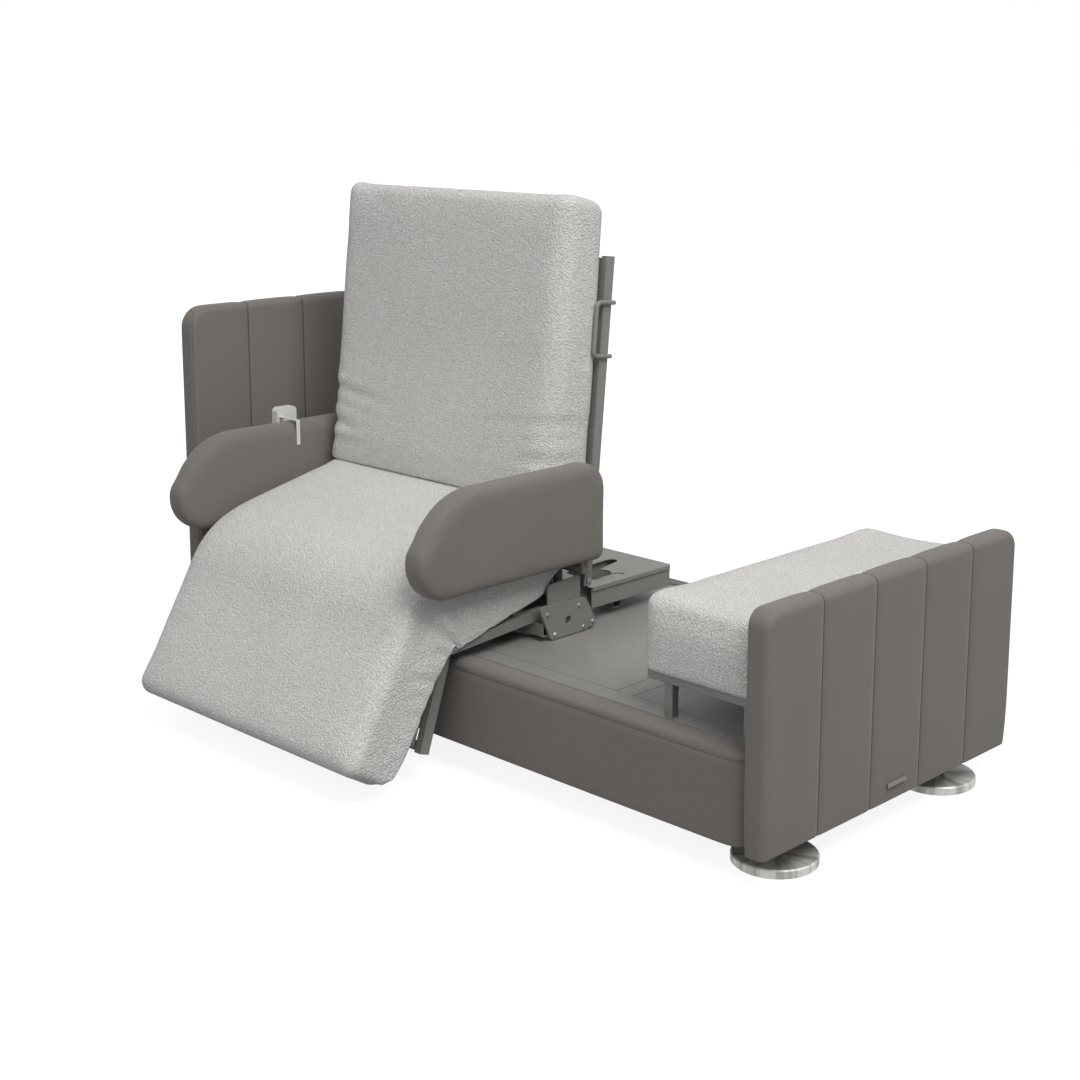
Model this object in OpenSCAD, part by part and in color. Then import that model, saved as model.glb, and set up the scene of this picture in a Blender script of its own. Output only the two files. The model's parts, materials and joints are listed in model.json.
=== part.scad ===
// Rotating chair-bed: an upholstered bed base that carries a powered chair on a turntable.
// Bed axis along X (head at -X), the chair faces -Y, Z up from the floor. Millimetres.

/* [Bed base] */
// Overall length over the two end boards
bed_len = 2130; // [1950:10:2300]
// Overall width of the end boards
bed_w = 1000; // [1000:10:1150]
// Thickness of an upholstered end board
board_t = 67; // [50:1:90]
// Height of the headboard
headboard_h = 1015; // [800:5:1150]
// Height of the footboard
footboard_h = 561; // [450:1:650]
// Corner radius of the headboard
headboard_r = 60; // [30:1:90]
// Corner radius of the footboard
footboard_r = 40; // [20:1:60]
// Gap between the floor and the upholstered boards
floor_gap = 77; // [65:1:110]
// Height of a side rail
rail_h = 224; // [215:1:260]
// Thickness of a side rail
rail_t = 60; // [45:1:70]
// How far a rail sits inside the side of the end boards
rail_inset = 20; // [5:1:30]

/* [Deck] */
// Drop of the deck below the top of the rails
deck_drop = 5; // [3:1:8]
// Thickness of a deck panel
deck_t = 4; // [3:0.5:6]
// Width of the edge strips along the rails
deck_edge_w = 55; // [40:1:80]
// Distance from the middle of the bed to the narrow cross panel
cross_panel_x = 512; // [450:1:560]
// Width of the narrow cross panel
cross_panel_w = 54; // [40:1:80]
// Width of the dark gap beside the rails and between panels
deck_gap = 2; // [1:0.5:4]

/* [Feet] */
// Diameter of a floor disc
disc_d = 200; // [140:1:220]
// Height of a floor disc
disc_h = 22; // [15:1:30]
// Diameter of the stem above a disc
stem_d = 50; // [30:1:55]
// Distance from a board's outer face to a foot's centre
foot_end = 100; // [98:1:130]
// Distance from the bed's middle line to a foot's centre
foot_y = 327; // [260:1:340]

/* [Foot platform] */
// Length of the foot mattress
foot_len = 342; // [300:1:380]
// Width of the foot mattress
foot_w = 880; // [760:5:900]
// Thickness of the foot mattress
foot_t = 175; // [120:1:200]
// Height of the platform's underside above the deck
platform_rise = 84; // [60:1:110]
// Depth of the platform's edge frame
platform_t = 23; // [18:1:30]
// Width of a square platform leg
platform_leg = 24; // [18:1:30]

/* [Chair] */
// Distance from the bed's middle to the swivel axis, towards the head
swivel_off = 338; // [320:1:350]
// Width of the chair's mattress
seat_w = 900; // [880:5:910]
// Slope of the raised seat over a bed one metre wide, in degrees
seat_slope_1m = 12.5; // [9:0.5:14]
// How far the seat drops back to its flat position, in degrees
seat_drop = 8.5; // [4:0.5:8.5]
// Distance from the swivel axis forward to the crease between seat and back
crease_y = 105; // [95:1:135]
// Thickness of the seat cushion
seat_t = 206; // [150:1:210]
// Slope of the lowered leg cushion, in degrees below level
leg_slope = 60; // [50:1:65]
// Slope of the leg-rest side tubes, in degrees below level
leg_tube_slope = 72; // [70:1:74]
// Length of the leg cushion
leg_len = 352; // [300:1:360]
// Thickness of the leg cushion
leg_t = 140; // [100:1:160]
// Lean of the upright back, in degrees
back_lean = 5.5; // [3:0.5:8]
// Height of the back cushion's top above the recline axis
back_top = 1010; // [900:5:1060]
// Thickness of the back cushion
back_t = 149; // [120:1:150]
// How far the knee axis stands out beyond the side of the bed
knee_out = 5; // [0:1:20]
// Height of the knee axis above the deck
knee_rise = 44; // [44:1:50]
// Distance from the swivel axis forward to the recline axis
recline_y = 34; // [30:1:38]
// Height of the recline axis above the deck
recline_rise = 126; // [124:1:132]

/* [Turntable] */
// Diameter of the turntable's hub where it passes the deck
hub_d = 190; // [150:1:198]
// Diameter of the hub's flange above the deck
flange_d = 380; // [360:1:400]
// Width of a carrier beam
beam_w = 38; // [30:1:40]
// Front edge of the front carrier beam, forward of the swivel axis
beam_front = 225; // [215:1:235]
// Depth of the rear cover plate, from its front edge to its rear edge
cover_d = 327; // [300:1:340]
// Rear edge of the cover plate behind the swivel axis
cover_rear = 307; // [290:1:320]
// Thickness of the carrier's side bracket
bracket_t = 8; // [5:1:8]
// Diameter of the bracket's button screws
screw_d = 12; // [8:1:14]

/* [Armrests] */
// Thickness of an armrest pad
arm_t = 77; // [60:1:90]
// Length of an armrest pad
arm_len = 656; // [600:2:700]
// Height of an armrest pad
arm_h = 272; // [240:1:290]
// Height of the pad's underside above the deck
arm_rise = 196; // [190:1:230]
// Gap between the mattress and an armrest pad
arm_gap = 6; // [6:1:16]
// Diameter of an armrest post
post_d = 25; // [20:1:28]

/* [Handset] */
// Width of the handset
handset_w = 70; // [55:1:80]
// Height of the handset
handset_h = 172; // [140:1:190]
// Thickness of the handset
handset_t = 25; // [18:1:30]
// Travel of a handset button
button_travel = 1.5; // [0.5:0.1:2]

/* [Fits] */
// Radial clearance between a pin and its running bore
pin_play = 0.05; // [0.02:0.01:0.1]
// Radial clearance between the hub and its slewing ring
hub_play = 0.6; // [0.2:0.1:1]
// Radial clearance between an armrest post and its socket
post_play = 0.3; // [0.2:0.1:0.8]
// Clearance left around soft parts
soft_gap = 0.5; // [0.3:0.1:1]
// Clearance between sliding flat parts
side_gap = 2; // [1:0.5:3]

/* [Hidden] */

$fn = 64;
hull_fn = 32;
fabric_c = [0.41, 0.39, 0.37];
cover_c = [0.80, 0.80, 0.78];
metal_c = [0.48, 0.48, 0.46];
deck_c = [0.52, 0.52, 0.50];
steel_c = [0.75, 0.75, 0.76];
dark_c = [0.12, 0.12, 0.13];
plastic_c = [0.72, 0.72, 0.71];

half_len = bed_len / 2;
half_w = bed_w / 2;
inner_x = half_len - board_t;
rail_top = floor_gap + rail_h;
rail_out = half_w - rail_inset;
rail_in = rail_out - rail_t;
deck_top = rail_top - deck_drop;
deck_low = deck_top - deck_t;
tube_wall = 2.5;
// joint left between two tubes of one welded frame
weld_gap = 0.2;

// base frame under the deck
longeron_w = 70;
post_w = 40;
longeron_h = 60;
cross_w = 60;
cross_low = floor_gap + 3;
foot_x = half_len - foot_end;
longeron_y = rail_in - longeron_w / 2;

// chair frame of reference
swivel_x = -swivel_off;
half_seat = seat_w / 2;
knee_y = half_w + knee_out;
seat_len = knee_y - crease_y;
// on a bed wider than one metre the slopes ease, so that rear ends keep their height
wider = half_w - 500;
seat_slope = asin(sin(seat_slope_1m) * (seat_len - wider) / seat_len);
knee_z = deck_top + knee_rise;
recline_z = deck_top + recline_rise;
pin_r = 8;
tube_x = 22;
tube_deep = 28;
arm_tube_in = half_seat - 30;
leg_tube_in = arm_tube_in - tube_x - side_gap;
seat_tube_in = leg_tube_in - tube_x - side_gap;
arm_reach = knee_y - beam_front + beam_w;
arm_slope = atan(tan(seat_slope_1m - seat_drop) * (arm_reach - wider) / arm_reach);
pan_t = 3;
seat_under = 20;
pan_low = seat_under - soft_gap - pan_t;
seat_cross_h = 25.5;
leg_under = 47;
leg_pan_low = leg_under - soft_gap - pan_t;
leg_raise = leg_slope - seat_slope;
back_under = 21;
back_tube_in = half_seat - tube_x;
side_plate_t = 8;
side_plate_in = back_tube_in - side_gap - side_plate_t - 6;

// turntable
hub_low = deck_low - 56;
flange_gap = 4;
flange_t = 9;
flange_top = deck_top + flange_gap + flange_t;
ring_t = 36;
ring_d = hub_d + 130;
beam_h = 36;
beam_top = flange_top + beam_h;
beam_rear = 95;
cover_t = 3;
cover_lip = 4.5;
cover_rise = 49;
skirt_h = 57;
cover_low = beam_top + cover_rise;
cover_top = cover_low + cover_t;
cover_front = cover_rear - cover_d;
bracket_in = half_seat + 20;

// back actuator: pulls the lever below the recline axis
lever_r = 65;
lever_a = 41;
lever_t = 8;
lever_x = 76;
lever_hole_r = 15.2;
lever_end_r = 20;
act_r = 20;
act_x = 50;
act_z = beam_top + act_r + soft_gap / 2;
rod_r = 9;

// leg actuator: pushes the heel of the leg frame
heel_r = 30;
heel_a = leg_raise / 2;
leg_rod_z = knee_z - 28;
leg_rod_r = 7;
leg_act_x = -60;
leg_act_r = 14;
leg_act_len = 150;

// seat lift
lift_y = -85;
lift_z = flange_top + 31;
lift_r = 80;
lift_roller_r = 8;
lift_shaft_r = 10;
lift_play = 0.2;
lift_a = 48;
lift_x = 120;

// armrests
arm_in = half_seat + arm_gap;
arm_low = deck_top + arm_rise;
arm_top = arm_low + arm_h;
arm_rear = -42;
post_x = arm_in + arm_t / 4;
post_y = -88;
elbow_z = cover_top + 70;
spigot_x = half_seat - 60;
socket_low = beam_top;
socket_high = cover_top + 20;

// the object's origin: middle of its bounding box, on the floor
leg_tip_y = -knee_y - leg_len * cos(leg_slope) - (leg_under + leg_t) * sin(leg_slope);
origin_y = (half_w + leg_tip_y) / 2;

// ---- helpers ----

// Puts a piece that is drawn about the bed's middle into the object's frame
module bed() {
  translate([0, -origin_y, 0]) children();
}

// Puts a piece that is drawn about the swivel axis into the object's frame
module chair() {
  bed() translate([swivel_x, 0, 0]) children();
}

// Repeats a piece on the other side of the chair
module both_sides() {
  children();
  mirror([1, 0, 0]) children();
}

// Knee frame: local Y points back up the slope, local Z away from the underside
module knee_frame(slope) {
  translate([0, -knee_y, knee_z]) rotate([slope, 0, 0]) children();
}

// Back frame: local Z runs up the back, local -Y points to the sitter
module back_frame() {
  translate([0, -recline_y, recline_z]) rotate([-back_lean, 0, 0]) children();
}

// Centred rectangle with true round corners
module round_rect(w, h, r) {
  square([w - 2 * r, h], center = true);
  square([w, h - 2 * r], center = true);
  for (sx = [-1, 1], sy = [-1, 1]) {
    translate([sx * (w / 2 - r), sy * (h / 2 - r)]) circle(r);
  }
}

// Hollow square tube section
module tube_section(w, h) {
  difference() {
    round_rect(w, h, 3);
    square([w - 2 * tube_wall, h - 2 * tube_wall], center = true);
  }
}

// Tube along X, starting at x = 0
module tube_along_x(len, w, h) {
  rotate([90, 0, 90]) linear_extrude(len) tube_section(w, h);
}

// Tube along Y, starting at y = 0
module tube_along_y(len, w, h) {
  rotate([-90, 0, 0]) linear_extrude(len) tube_section(w, h);
}

// Extrudes a drawing of (y, z) points along X from x0 to x0 + len
module along_x(x0, len) {
  translate([x0, 0, 0]) rotate([90, 0, 90]) linear_extrude(len) children();
}

// Cylinder along X
module rod_x(x0, len, r) {
  translate([x0, 0, 0]) rotate([0, 90, 0]) cylinder(h = len, r = r);
}

function arc(cx, cy, r, a0, a1, n) =
  [for (i = [0:n]) [cx + r * cos(a0 + (a1 - a0) * i / n), cy + r * sin(a0 + (a1 - a0) * i / n)]];

// ---- bed base ----

// Upholstered end board, standing across the bed, inner face at x = 0
module board(h, r) {
  low_r = 10;
  rotate([90, 0, 90]) linear_extrude(board_t) {
    difference() {
      translate([0, h / 2]) round_rect(bed_w, h, r);
      translate([-half_w, -1]) square([bed_w, r + 1]);
    }
    translate([0, r / 2]) round_rect(bed_w, r, min(low_r, r / 2 - 1));
    translate([0, low_r / 2 + r * 3 / 4]) square([bed_w, r / 2], center = true);
  }
}

module headboard() {
  bed() color(fabric_c) translate([-half_len, 0, floor_gap]) board(headboard_h, headboard_r);
}

module footboard() {
  bed() color(fabric_c) translate([inner_x, 0, floor_gap]) board(footboard_h, footboard_r);
}

module badge_plate() {
  badge_w = 76;
  badge_h = 12;
  badge_z = floor_gap + 44;
  bed() color(steel_c) translate([half_len, 0, badge_z]) {
    rotate([90, 0, 90]) linear_extrude(2) round_rect(badge_w, badge_h, 2);
  }
}

module side_rail() {
  low_r = 8;
  top_r = 20;
  along_x(-inner_x, 2 * inner_x) {
    difference() {
      translate([0, rail_h / 2]) round_rect(rail_t, rail_h, low_r);
      translate([rail_t / 2 - top_r, rail_h - top_r]) square(top_r + 1);
    }
    translate([rail_t / 2 - top_r, rail_h - top_r]) circle(top_r);
  }
}

module near_side_rail() {
  bed() color(fabric_c) translate([0, -rail_in - rail_t / 2, floor_gap]) mirror([0, 1, 0]) side_rail();
}

module far_side_rail() {
  bed() color(fabric_c) translate([0, rail_in + rail_t / 2, floor_gap]) side_rail();
}

module base_longerons() {
  z = deck_low - longeron_h / 2;
  bed() color(dark_c) for (s = [-1, 1]) {
    translate([-inner_x, s * longeron_y, z]) tube_along_x(2 * inner_x, longeron_w, longeron_h);
  }
}

// End members over the feet, their corner posts, and the pair that carries the slewing ring
module base_crossmembers() {
  post_low = cross_low + cross_w + weld_gap;
  ring_z = deck_low - ring_t - cross_w / 2;
  half_span = rail_in - longeron_w;
  bed() color(dark_c) {
    for (s = [-1, 1]) {
      translate([s * foot_x, -rail_in, cross_low + cross_w / 2]) tube_along_y(2 * rail_in, cross_w, cross_w);
    }
    for (s = [-1, 1]) {
      translate([swivel_x + s * (ring_d / 2 - cross_w / 2), -half_span, ring_z]) {
        tube_along_y(2 * half_span, cross_w - 10, cross_w);
      }
    }
    for (sx = [-1, 1], sy = [-1, 1]) {
      translate([sx * foot_x, sy * longeron_y, post_low]) {
        linear_extrude(deck_low - longeron_h - post_low) tube_section(post_w, post_w);
      }
    }
  }
}

module floor_discs() {
  edge = 3;
  bed() color(steel_c) for (sx = [-1, 1], sy = [-1, 1]) {
    translate([sx * foot_x, sy * foot_y, 0]) rotate_extrude() {
      polygon([[0, 0], [disc_d / 2 - edge, 0], [disc_d / 2, edge],
        [disc_d / 2, disc_h - edge], [disc_d / 2 - edge, disc_h], [0, disc_h]]);
    }
  }
}

module foot_stems() {
  bed() color(dark_c) for (sx = [-1, 1], sy = [-1, 1]) {
    translate([sx * foot_x, sy * foot_y, disc_h]) {
      cylinder(h = cross_low - disc_h, d = stem_d);
    }
  }
}

// Deck panel between two x positions, within the edge strips
module deck_panel(x0, x1) {
  half = rail_in - deck_gap - deck_edge_w - deck_gap;
  translate([x0, -half, deck_low]) cube([x1 - x0, 2 * half, deck_t]);
}

module deck_main_panel() {
  hub_gap = 5;
  bed() color(deck_c) difference() {
    deck_panel(-inner_x + deck_gap, cross_panel_x);
    translate([swivel_x, 0, deck_low - 1]) cylinder(h = deck_t + 2, r = hub_d / 2 + hub_gap);
  }
}

module deck_cross_panel() {
  bed() color(deck_c) deck_panel(cross_panel_x + deck_gap, cross_panel_x + cross_panel_w);
}

module deck_foot_panel() {
  bed() color(deck_c) deck_panel(cross_panel_x + cross_panel_w + deck_gap, inner_x - deck_gap);
}

module deck_edge_strips() {
  y0 = rail_in - deck_gap - deck_edge_w;
  len = 2 * (inner_x - deck_gap);
  bed() color(deck_c) for (s = [0, 1]) mirror([0, s, 0]) {
    translate([-len / 2, y0, deck_low]) cube([len, deck_edge_w, deck_t]);
  }
}

// ---- foot platform ----

platform_low = deck_top + platform_rise;
platform_x = inner_x - foot_len + 6;
platform_half = foot_w / 2 - 20;

module foot_platform_frame() {
  len = inner_x - platform_x;
  bed() color(metal_c) translate([platform_x, -platform_half, platform_low]) {
    cube([len, 2 * platform_half, platform_t]);
  }
}

module foot_platform_legs() {
  setback = 42;
  side_in = 21.5;
  bed() color(metal_c) for (sx = [0, 1], sy = [-1, 1]) {
    x = sx == 0 ? platform_x + setback + platform_leg / 2 : inner_x - setback - platform_leg / 2;
    translate([x, sy * (platform_half - side_in), deck_top]) {
      linear_extrude(platform_rise) tube_section(platform_leg, platform_leg);
    }
  }
}

module foot_mattress() {
  low = platform_low + platform_t + soft_gap;
  bed() color(cover_c) translate([inner_x - foot_len - soft_gap + foot_len / 2, 0, low + foot_t / 2]) {
    rotate([90, 0, 0]) translate([0, 0, -foot_w / 2]) linear_extrude(foot_w) round_rect(foot_len, foot_t, 25);
  }
}

// ---- drive and electrics in the base ----

module slewing_ring() {
  bed() color(steel_c) translate([swivel_x, 0, deck_low - ring_t]) difference() {
    cylinder(h = ring_t, d = ring_d);
    translate([0, 0, -1]) cylinder(h = ring_t + 2, r = hub_d / 2 + hub_play);
  }
}

// Gear motor below the hub, hung from the slewing ring's cross members by a yoke bar
module swivel_motor() {
  body_w = 110;
  body_h = 70;
  bar_t = 8;
  low = hub_low - 2 - body_h;
  bar_top = deck_low - ring_t - cross_w;
  bed() color(dark_c) translate([swivel_x, 0, 0]) {
    translate([-body_w / 2, -60, low]) cube([body_w, 120, body_h]);
    translate([-ring_d / 2, -30, bar_top - bar_t]) cube([ring_d, 60, bar_t]);
    translate([0, 60, low + body_h / 2]) rotate([-90, 0, 0]) cylinder(h = 90, d = 58);
  }
}

module control_box() {
  box = [220, 120, 60];
  bed() color(dark_c) translate([foot_x - cross_w / 2 - box[0] / 2, 0, cross_low]) {
    linear_extrude(box[2]) round_rect(box[0], box[1], 8);
  }
}

// Outlet for the handset's lead, on the rear cover's side skirt
module handset_gland() {
  chair() color(dark_c) translate([-half_seat + cover_lip, cover_rear - 60, cover_low - skirt_h / 2]) {
    rotate([0, -90, 0]) difference() {
      cylinder(h = 14, d1 = 20, d2 = 14);
      translate([0, 0, 4]) cylinder(h = 12, r = 3.5);
    }
  }
}

// ---- turntable ----

module turntable_hub() {
  chair() color(steel_c) difference() {
    union() {
      translate([0, 0, hub_low]) cylinder(h = flange_top - hub_low, d = hub_d);
      translate([0, 0, flange_top - flange_t]) cylinder(h = flange_t, d = flange_d);
    }
    translate([0, 0, hub_low - 1]) cylinder(h = flange_top - hub_low + 2, r = 40);
  }
}

module carrier_beams() {
  chair() color(metal_c) {
    translate([-bracket_in, -beam_front + beam_w / 2, flange_top + beam_h / 2]) {
      tube_along_x(2 * bracket_in, beam_w, beam_h);
    }
    translate([-half_seat + 30, beam_rear + beam_w / 2, flange_top + beam_h / 2]) {
      tube_along_x(seat_w - 60, beam_w, beam_h);
    }
  }
}

// Arms that reach forward from the front beam to the knee axis
module carrier_arms() {
  nose = 11;
  arm_rise_z = arm_reach * tan(arm_slope);
  pad_h = knee_z + arm_rise_z - tube_deep / 2 - beam_top;
  chair() color(metal_c) both_sides() translate([arm_tube_in, 0, 0]) {
    knee_frame(arm_slope) difference() {
      translate([0, -nose, -tube_deep / 2]) cube([tube_x, arm_reach / cos(arm_slope) + nose, tube_deep]);
      rod_x(-1, tube_x + 2, pin_r + pin_play);
    }
    translate([0, -beam_front + 4, beam_top]) cube([tube_x, beam_w - 10, max(1, pad_h)]);
  }
}

// Upright plates that join the beams and hold the recline pins
module carrier_side_plates() {
  x = side_plate_in;
  ear_r = 18;
  low = beam_top;
  chair() color(metal_c) both_sides() along_x(x, side_plate_t) difference() {
    union() {
      translate([-beam_front, low]) square([beam_front + beam_rear + beam_w, 24]);
      hull() {
        translate([-recline_y, recline_z]) circle(ear_r, $fn = hull_fn);
        translate([-recline_y - 60, low]) square([110, 24]);
      }
    }
    translate([-recline_y, recline_z]) circle(pin_r + pin_play);
  }
}

// Two-lobed clearance opening in the rear cover, drawn from its corner nearest the middle
module cover_opening() {
  hull() {
    translate([20, 32]) circle(30, $fn = hull_fn);
    translate([88, 28]) circle(28, $fn = hull_fn);
    translate([62, 76]) circle(30, $fn = hull_fn);
  }
  hull() {
    translate([88, 40]) circle(28, $fn = hull_fn);
    translate([110, 100]) circle(16, $fn = hull_fn);
  }
  hull() {
    translate([22, 50]) circle(30, $fn = hull_fn);
    translate([2, 188]) circle(17, $fn = hull_fn);
  }
}

module cover_outline() {
  corner_r = 12;
  translate([0, (cover_front + cover_rear) / 2]) round_rect(seat_w, cover_d, corner_r);
}

// Rear cover: a plate with a folded edge along both sides and the rear
module cover_plate() {
  opening_x = half_seat - 150;
  opening_y = 30;
  fold_h = 9;
  fold_t = 2.5;
  slot_t = 8;
  chair() color(metal_c) {
    translate([0, 0, cover_low]) linear_extrude(cover_t) difference() {
      cover_outline();
      translate([opening_x, opening_y]) cover_opening();
      mirror([1, 0]) translate([opening_x, opening_y]) cover_opening();
      translate([lever_x - slot_t, cover_front - 1]) square([lever_t + 2 * slot_t, 66]);
      for (s = [-1, 1]) translate([s * (side_plate_in + side_plate_t / 2), cover_front]) {
        square([side_plate_t + 2, 64], center = true);
      }
    }
    translate([0, 0, cover_low - fold_h]) linear_extrude(fold_h + 1) difference() {
      cover_outline();
      translate([-half_seat + fold_t, cover_front - 1]) square([seat_w - 2 * fold_t, cover_d - fold_t + 1]);
    }
  }
}

// Folded skirts below the rear cover, and the two ribs that carry it
module cover_skirts() {
  rib_x = half_seat - 190;
  y0 = cover_front + cover_lip;
  y1 = cover_rear - cover_lip;
  x1 = half_seat - cover_lip;
  chair() color(metal_c) translate([0, 0, cover_low - skirt_h]) {
    for (s = [-1, 1]) {
      translate([s * x1 - (s > 0 ? cover_t : 0), y0, 0]) cube([cover_t, y1 - y0, skirt_h]);
    }
    translate([-x1 + cover_t + soft_gap, y1 - cover_t, 0]) {
      cube([2 * (x1 - cover_t - soft_gap), cover_t, skirt_h]);
    }
    for (s = [-1, 1]) translate([s * rib_x, cover_front + 25, skirt_h - cover_rise / 2]) {
      tube_along_y(cover_d - 45, 30, cover_rise);
    }
  }
}

// Side outline of a bracket, drawn from the swivel axis and the top of the beams
module bracket_shape() {
  low = flange_top - beam_top - 10;
  r = 10;
  difference() {
    hull() {
      translate([-230, 39]) circle(r, $fn = hull_fn);
      translate([-78, 33]) circle(r, $fn = hull_fn);
      translate([-43, -29]) circle(r, $fn = hull_fn);
      translate([-49, low + r]) circle(r, $fn = hull_fn);
      translate([-196, low + r]) circle(r, $fn = hull_fn);
    }
    translate([-58, low - 15]) circle(20);
  }
}

screw_spots = [[-215, 25], [-98, 27], [-188, -33], [-80, -35], [-46, -28]];

module side_brackets() {
  chair() color(metal_c) both_sides() translate([0, 0, beam_top]) along_x(bracket_in, bracket_t) {
    difference() {
      bracket_shape();
      translate([-139, -5]) circle(11);
    }
  }
}

module bracket_screws() {
  head_h = 4;
  chair() color(steel_c) both_sides() translate([bracket_in + bracket_t, 0, beam_top]) {
    for (p = screw_spots) translate([0, p[0], p[1]]) rotate([0, 90, 0]) {
      difference() {
        cylinder(h = head_h, d1 = screw_d, d2 = screw_d - 4);
        translate([0, 0, head_h - 2]) cylinder(h = 3, d = 5, $fn = 6);
      }
    }
  }
}

// Upright flaps inside the brackets that keep the mattress in place
module mattress_flaps() {
  t = 5;
  low = beam_top + 4;
  top = beam_top + 105;
  chair() color(metal_c) both_sides() along_x(bracket_in - t, t) {
    polygon(concat([[-206, low], [-86, low], [-86, top]], arc(-194, top - 17, 12, 90, 180, 6)));
  }
}

module armrest_sockets() {
  chair() color(metal_c) for (s = [-1, 1]) translate([s * spigot_x, post_y, socket_low - beam_h]) {
    difference() {
      cylinder(h = socket_high - socket_low + beam_h, d = post_d + 8);
      translate([0, 0, 12]) cylinder(h = 200, r = post_d / 2 + post_play);
    }
    translate([-12, -(beam_front - beam_w) - post_y, 0]) {
      cube([24, beam_front - beam_w + post_y - post_d / 2 - 2, 18]);
    }
  }
}

// ---- chair pins ----

module knee_shaft() {
  over = 3;
  chair() color(steel_c) translate([0, -knee_y, knee_z]) {
    rod_x(-arm_tube_in - tube_x - over, 2 * (arm_tube_in + tube_x + over), pin_r);
  }
}

module recline_pins() {
  plate_x = side_plate_in;
  chair() color(steel_c) both_sides() translate([0, -recline_y, recline_z]) {
    rod_x(plate_x, half_seat + 3 - plate_x, pin_r);
    difference() {
      rod_x(plate_x + side_plate_t, back_tube_in - side_gap / 2 - plate_x - side_plate_t, pin_r + 5);
      rod_x(plate_x, 60, pin_r);
    }
  }
}

// ---- actuators ----

// Back actuator under the rear cover, resting on the rear beam
module back_actuator() {
  front = 70;
  body_len = 150;
  box_len = 62;
  chair() color(dark_c) translate([act_x, front, act_z]) rotate([-90, 0, 0]) difference() {
    union() {
      cylinder(h = body_len, r = act_r);
      translate([-30, -act_r - 1, body_len]) cube([60, 2 * act_r + 2, box_len]);
    }
    translate([0, 0, -1]) cylinder(h = body_len, r = rod_r + pin_play * 4);
  }
}

// Pin position on the back lever at rest
lever_y = -recline_y + lever_r * sin(lever_a);

module back_actuator_rod() {
  rod_len = 150;
  eye_x = lever_x - act_x - 6;
  chair() color(steel_c) translate([act_x, lever_y, act_z]) {
    rotate([-90, 0, 0]) translate([0, 0, 8]) cylinder(h = rod_len, r = rod_r);
    translate([-6, -8, -8]) cube([eye_x + 4, 18, 16]);
    rod_x(eye_x - 4, lever_t + 14, 5);
  }
}

module back_lever() {
  a = lever_a + back_lean;
  top_w = 58;
  chair() color(metal_c) back_frame() along_x(lever_x, lever_t) difference() {
    hull() {
      translate([-12, top_w - 14]) square([24, 14]);
      circle(16, $fn = hull_fn);
      translate([lever_r * sin(a), -lever_r * cos(a)]) circle(lever_end_r, $fn = hull_fn);
    }
    translate([lever_r * sin(a), -lever_r * cos(a)]) circle(lever_hole_r);
  }
}

module leg_actuator() {
  body_rear = -beam_front;
  box_len = 58;
  chair() color(dark_c) translate([leg_act_x, body_rear, leg_rod_z]) rotate([90, 0, 0]) difference() {
    union() {
      translate([-26, -11, 0]) cube([52, 26, box_len]);
      translate([0, 2, box_len]) cylinder(h = leg_act_len - box_len, r = leg_act_r - 1);
    }
    translate([0, 0, box_len / 2]) cylinder(h = leg_act_len, r = leg_rod_r + pin_play * 4);
  }
}

// Distance the heel stands off its axis line on the push side
heel_half = 6;
heel_y = -knee_y + leg_rod_drop() * tan(heel_a) + heel_half / cos(heel_a);
function leg_rod_drop() = knee_z - leg_rod_z;

module leg_actuator_rod() {
  gap = 3.5;
  inside = 62.4;
  rod_len = -(beam_front + leg_act_len) + inside - (heel_y + gap);
  chair() color(steel_c) translate([leg_act_x, heel_y + gap, leg_rod_z]) rotate([-90, 0, 0]) {
    cylinder(h = rod_len, r = leg_rod_r);
  }
}

module lift_bearings() {
  block = [16, 34, 52];
  chair() color(metal_c) for (s = [-1, 1]) translate([s * (lift_x + 22) - block[0] / 2, 0, 0]) difference() {
    translate([0, lift_y - block[1] / 2, flange_top]) cube(block);
    translate([0, lift_y, lift_z]) rod_x(-1, block[0] + 2, lift_shaft_r + lift_play);
  }
}

module lift_motor() {
  body = [74, 60, 56];
  x = -lift_x - 30 - body[0];
  chair() color(dark_c) difference() {
    translate([x, lift_y - body[1] / 2, flange_top]) cube(body);
    translate([0, lift_y, lift_z]) rod_x(-lift_x - 42, 20, lift_shaft_r + lift_play);
  }
}

// Cross shaft with two levers whose noses carry the raised seat
module lift_shaft() {
  arm_t2 = 12;
  chair() color(steel_c) translate([0, lift_y, lift_z]) {
    rod_x(-lift_x - 40, 2 * lift_x + 72, lift_shaft_r);
    for (s = [-1, 1]) along_x(s * lift_x - arm_t2 / 2, arm_t2) hull() {
      circle(16, $fn = hull_fn);
      translate([-lift_r * cos(lift_a), lift_r * sin(lift_a)]) circle(lift_roller_r, $fn = hull_fn);
    }
  }
}

// ---- seat ----

module seat_side_tubes() {
  nose = 12;
  chair() color(metal_c) knee_frame(seat_slope) both_sides() translate([seat_tube_in, 0, 0]) difference() {
    translate([0, -nose, -8]) cube([tube_x, seat_len - 4 + nose, 8 + pan_low]);
    rod_x(-1, tube_x + 2, pin_r + pin_play);
  }
}

module seat_cross_tubes() {
  chair() color(metal_c) knee_frame(seat_slope) for (u = [60, seat_len - 30]) {
    translate([-seat_tube_in, u, pan_low - seat_cross_h / 2]) tube_along_x(2 * seat_tube_in, 22, seat_cross_h);
  }
}

module seat_pan() {
  chair() color(metal_c) knee_frame(seat_slope) {
    translate([-seat_tube_in - tube_x, 14, pan_low]) cube([2 * (seat_tube_in + tube_x), seat_len - 22, pan_t]);
  }
}

module seat_cushion() {
  end_gap = 1.5;
  chair() color(cover_c) knee_frame(seat_slope) translate([-half_seat, end_gap, seat_under]) {
    cube([seat_w, seat_len - end_gap, seat_t]);
  }
}

// ---- leg-rest ----

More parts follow.
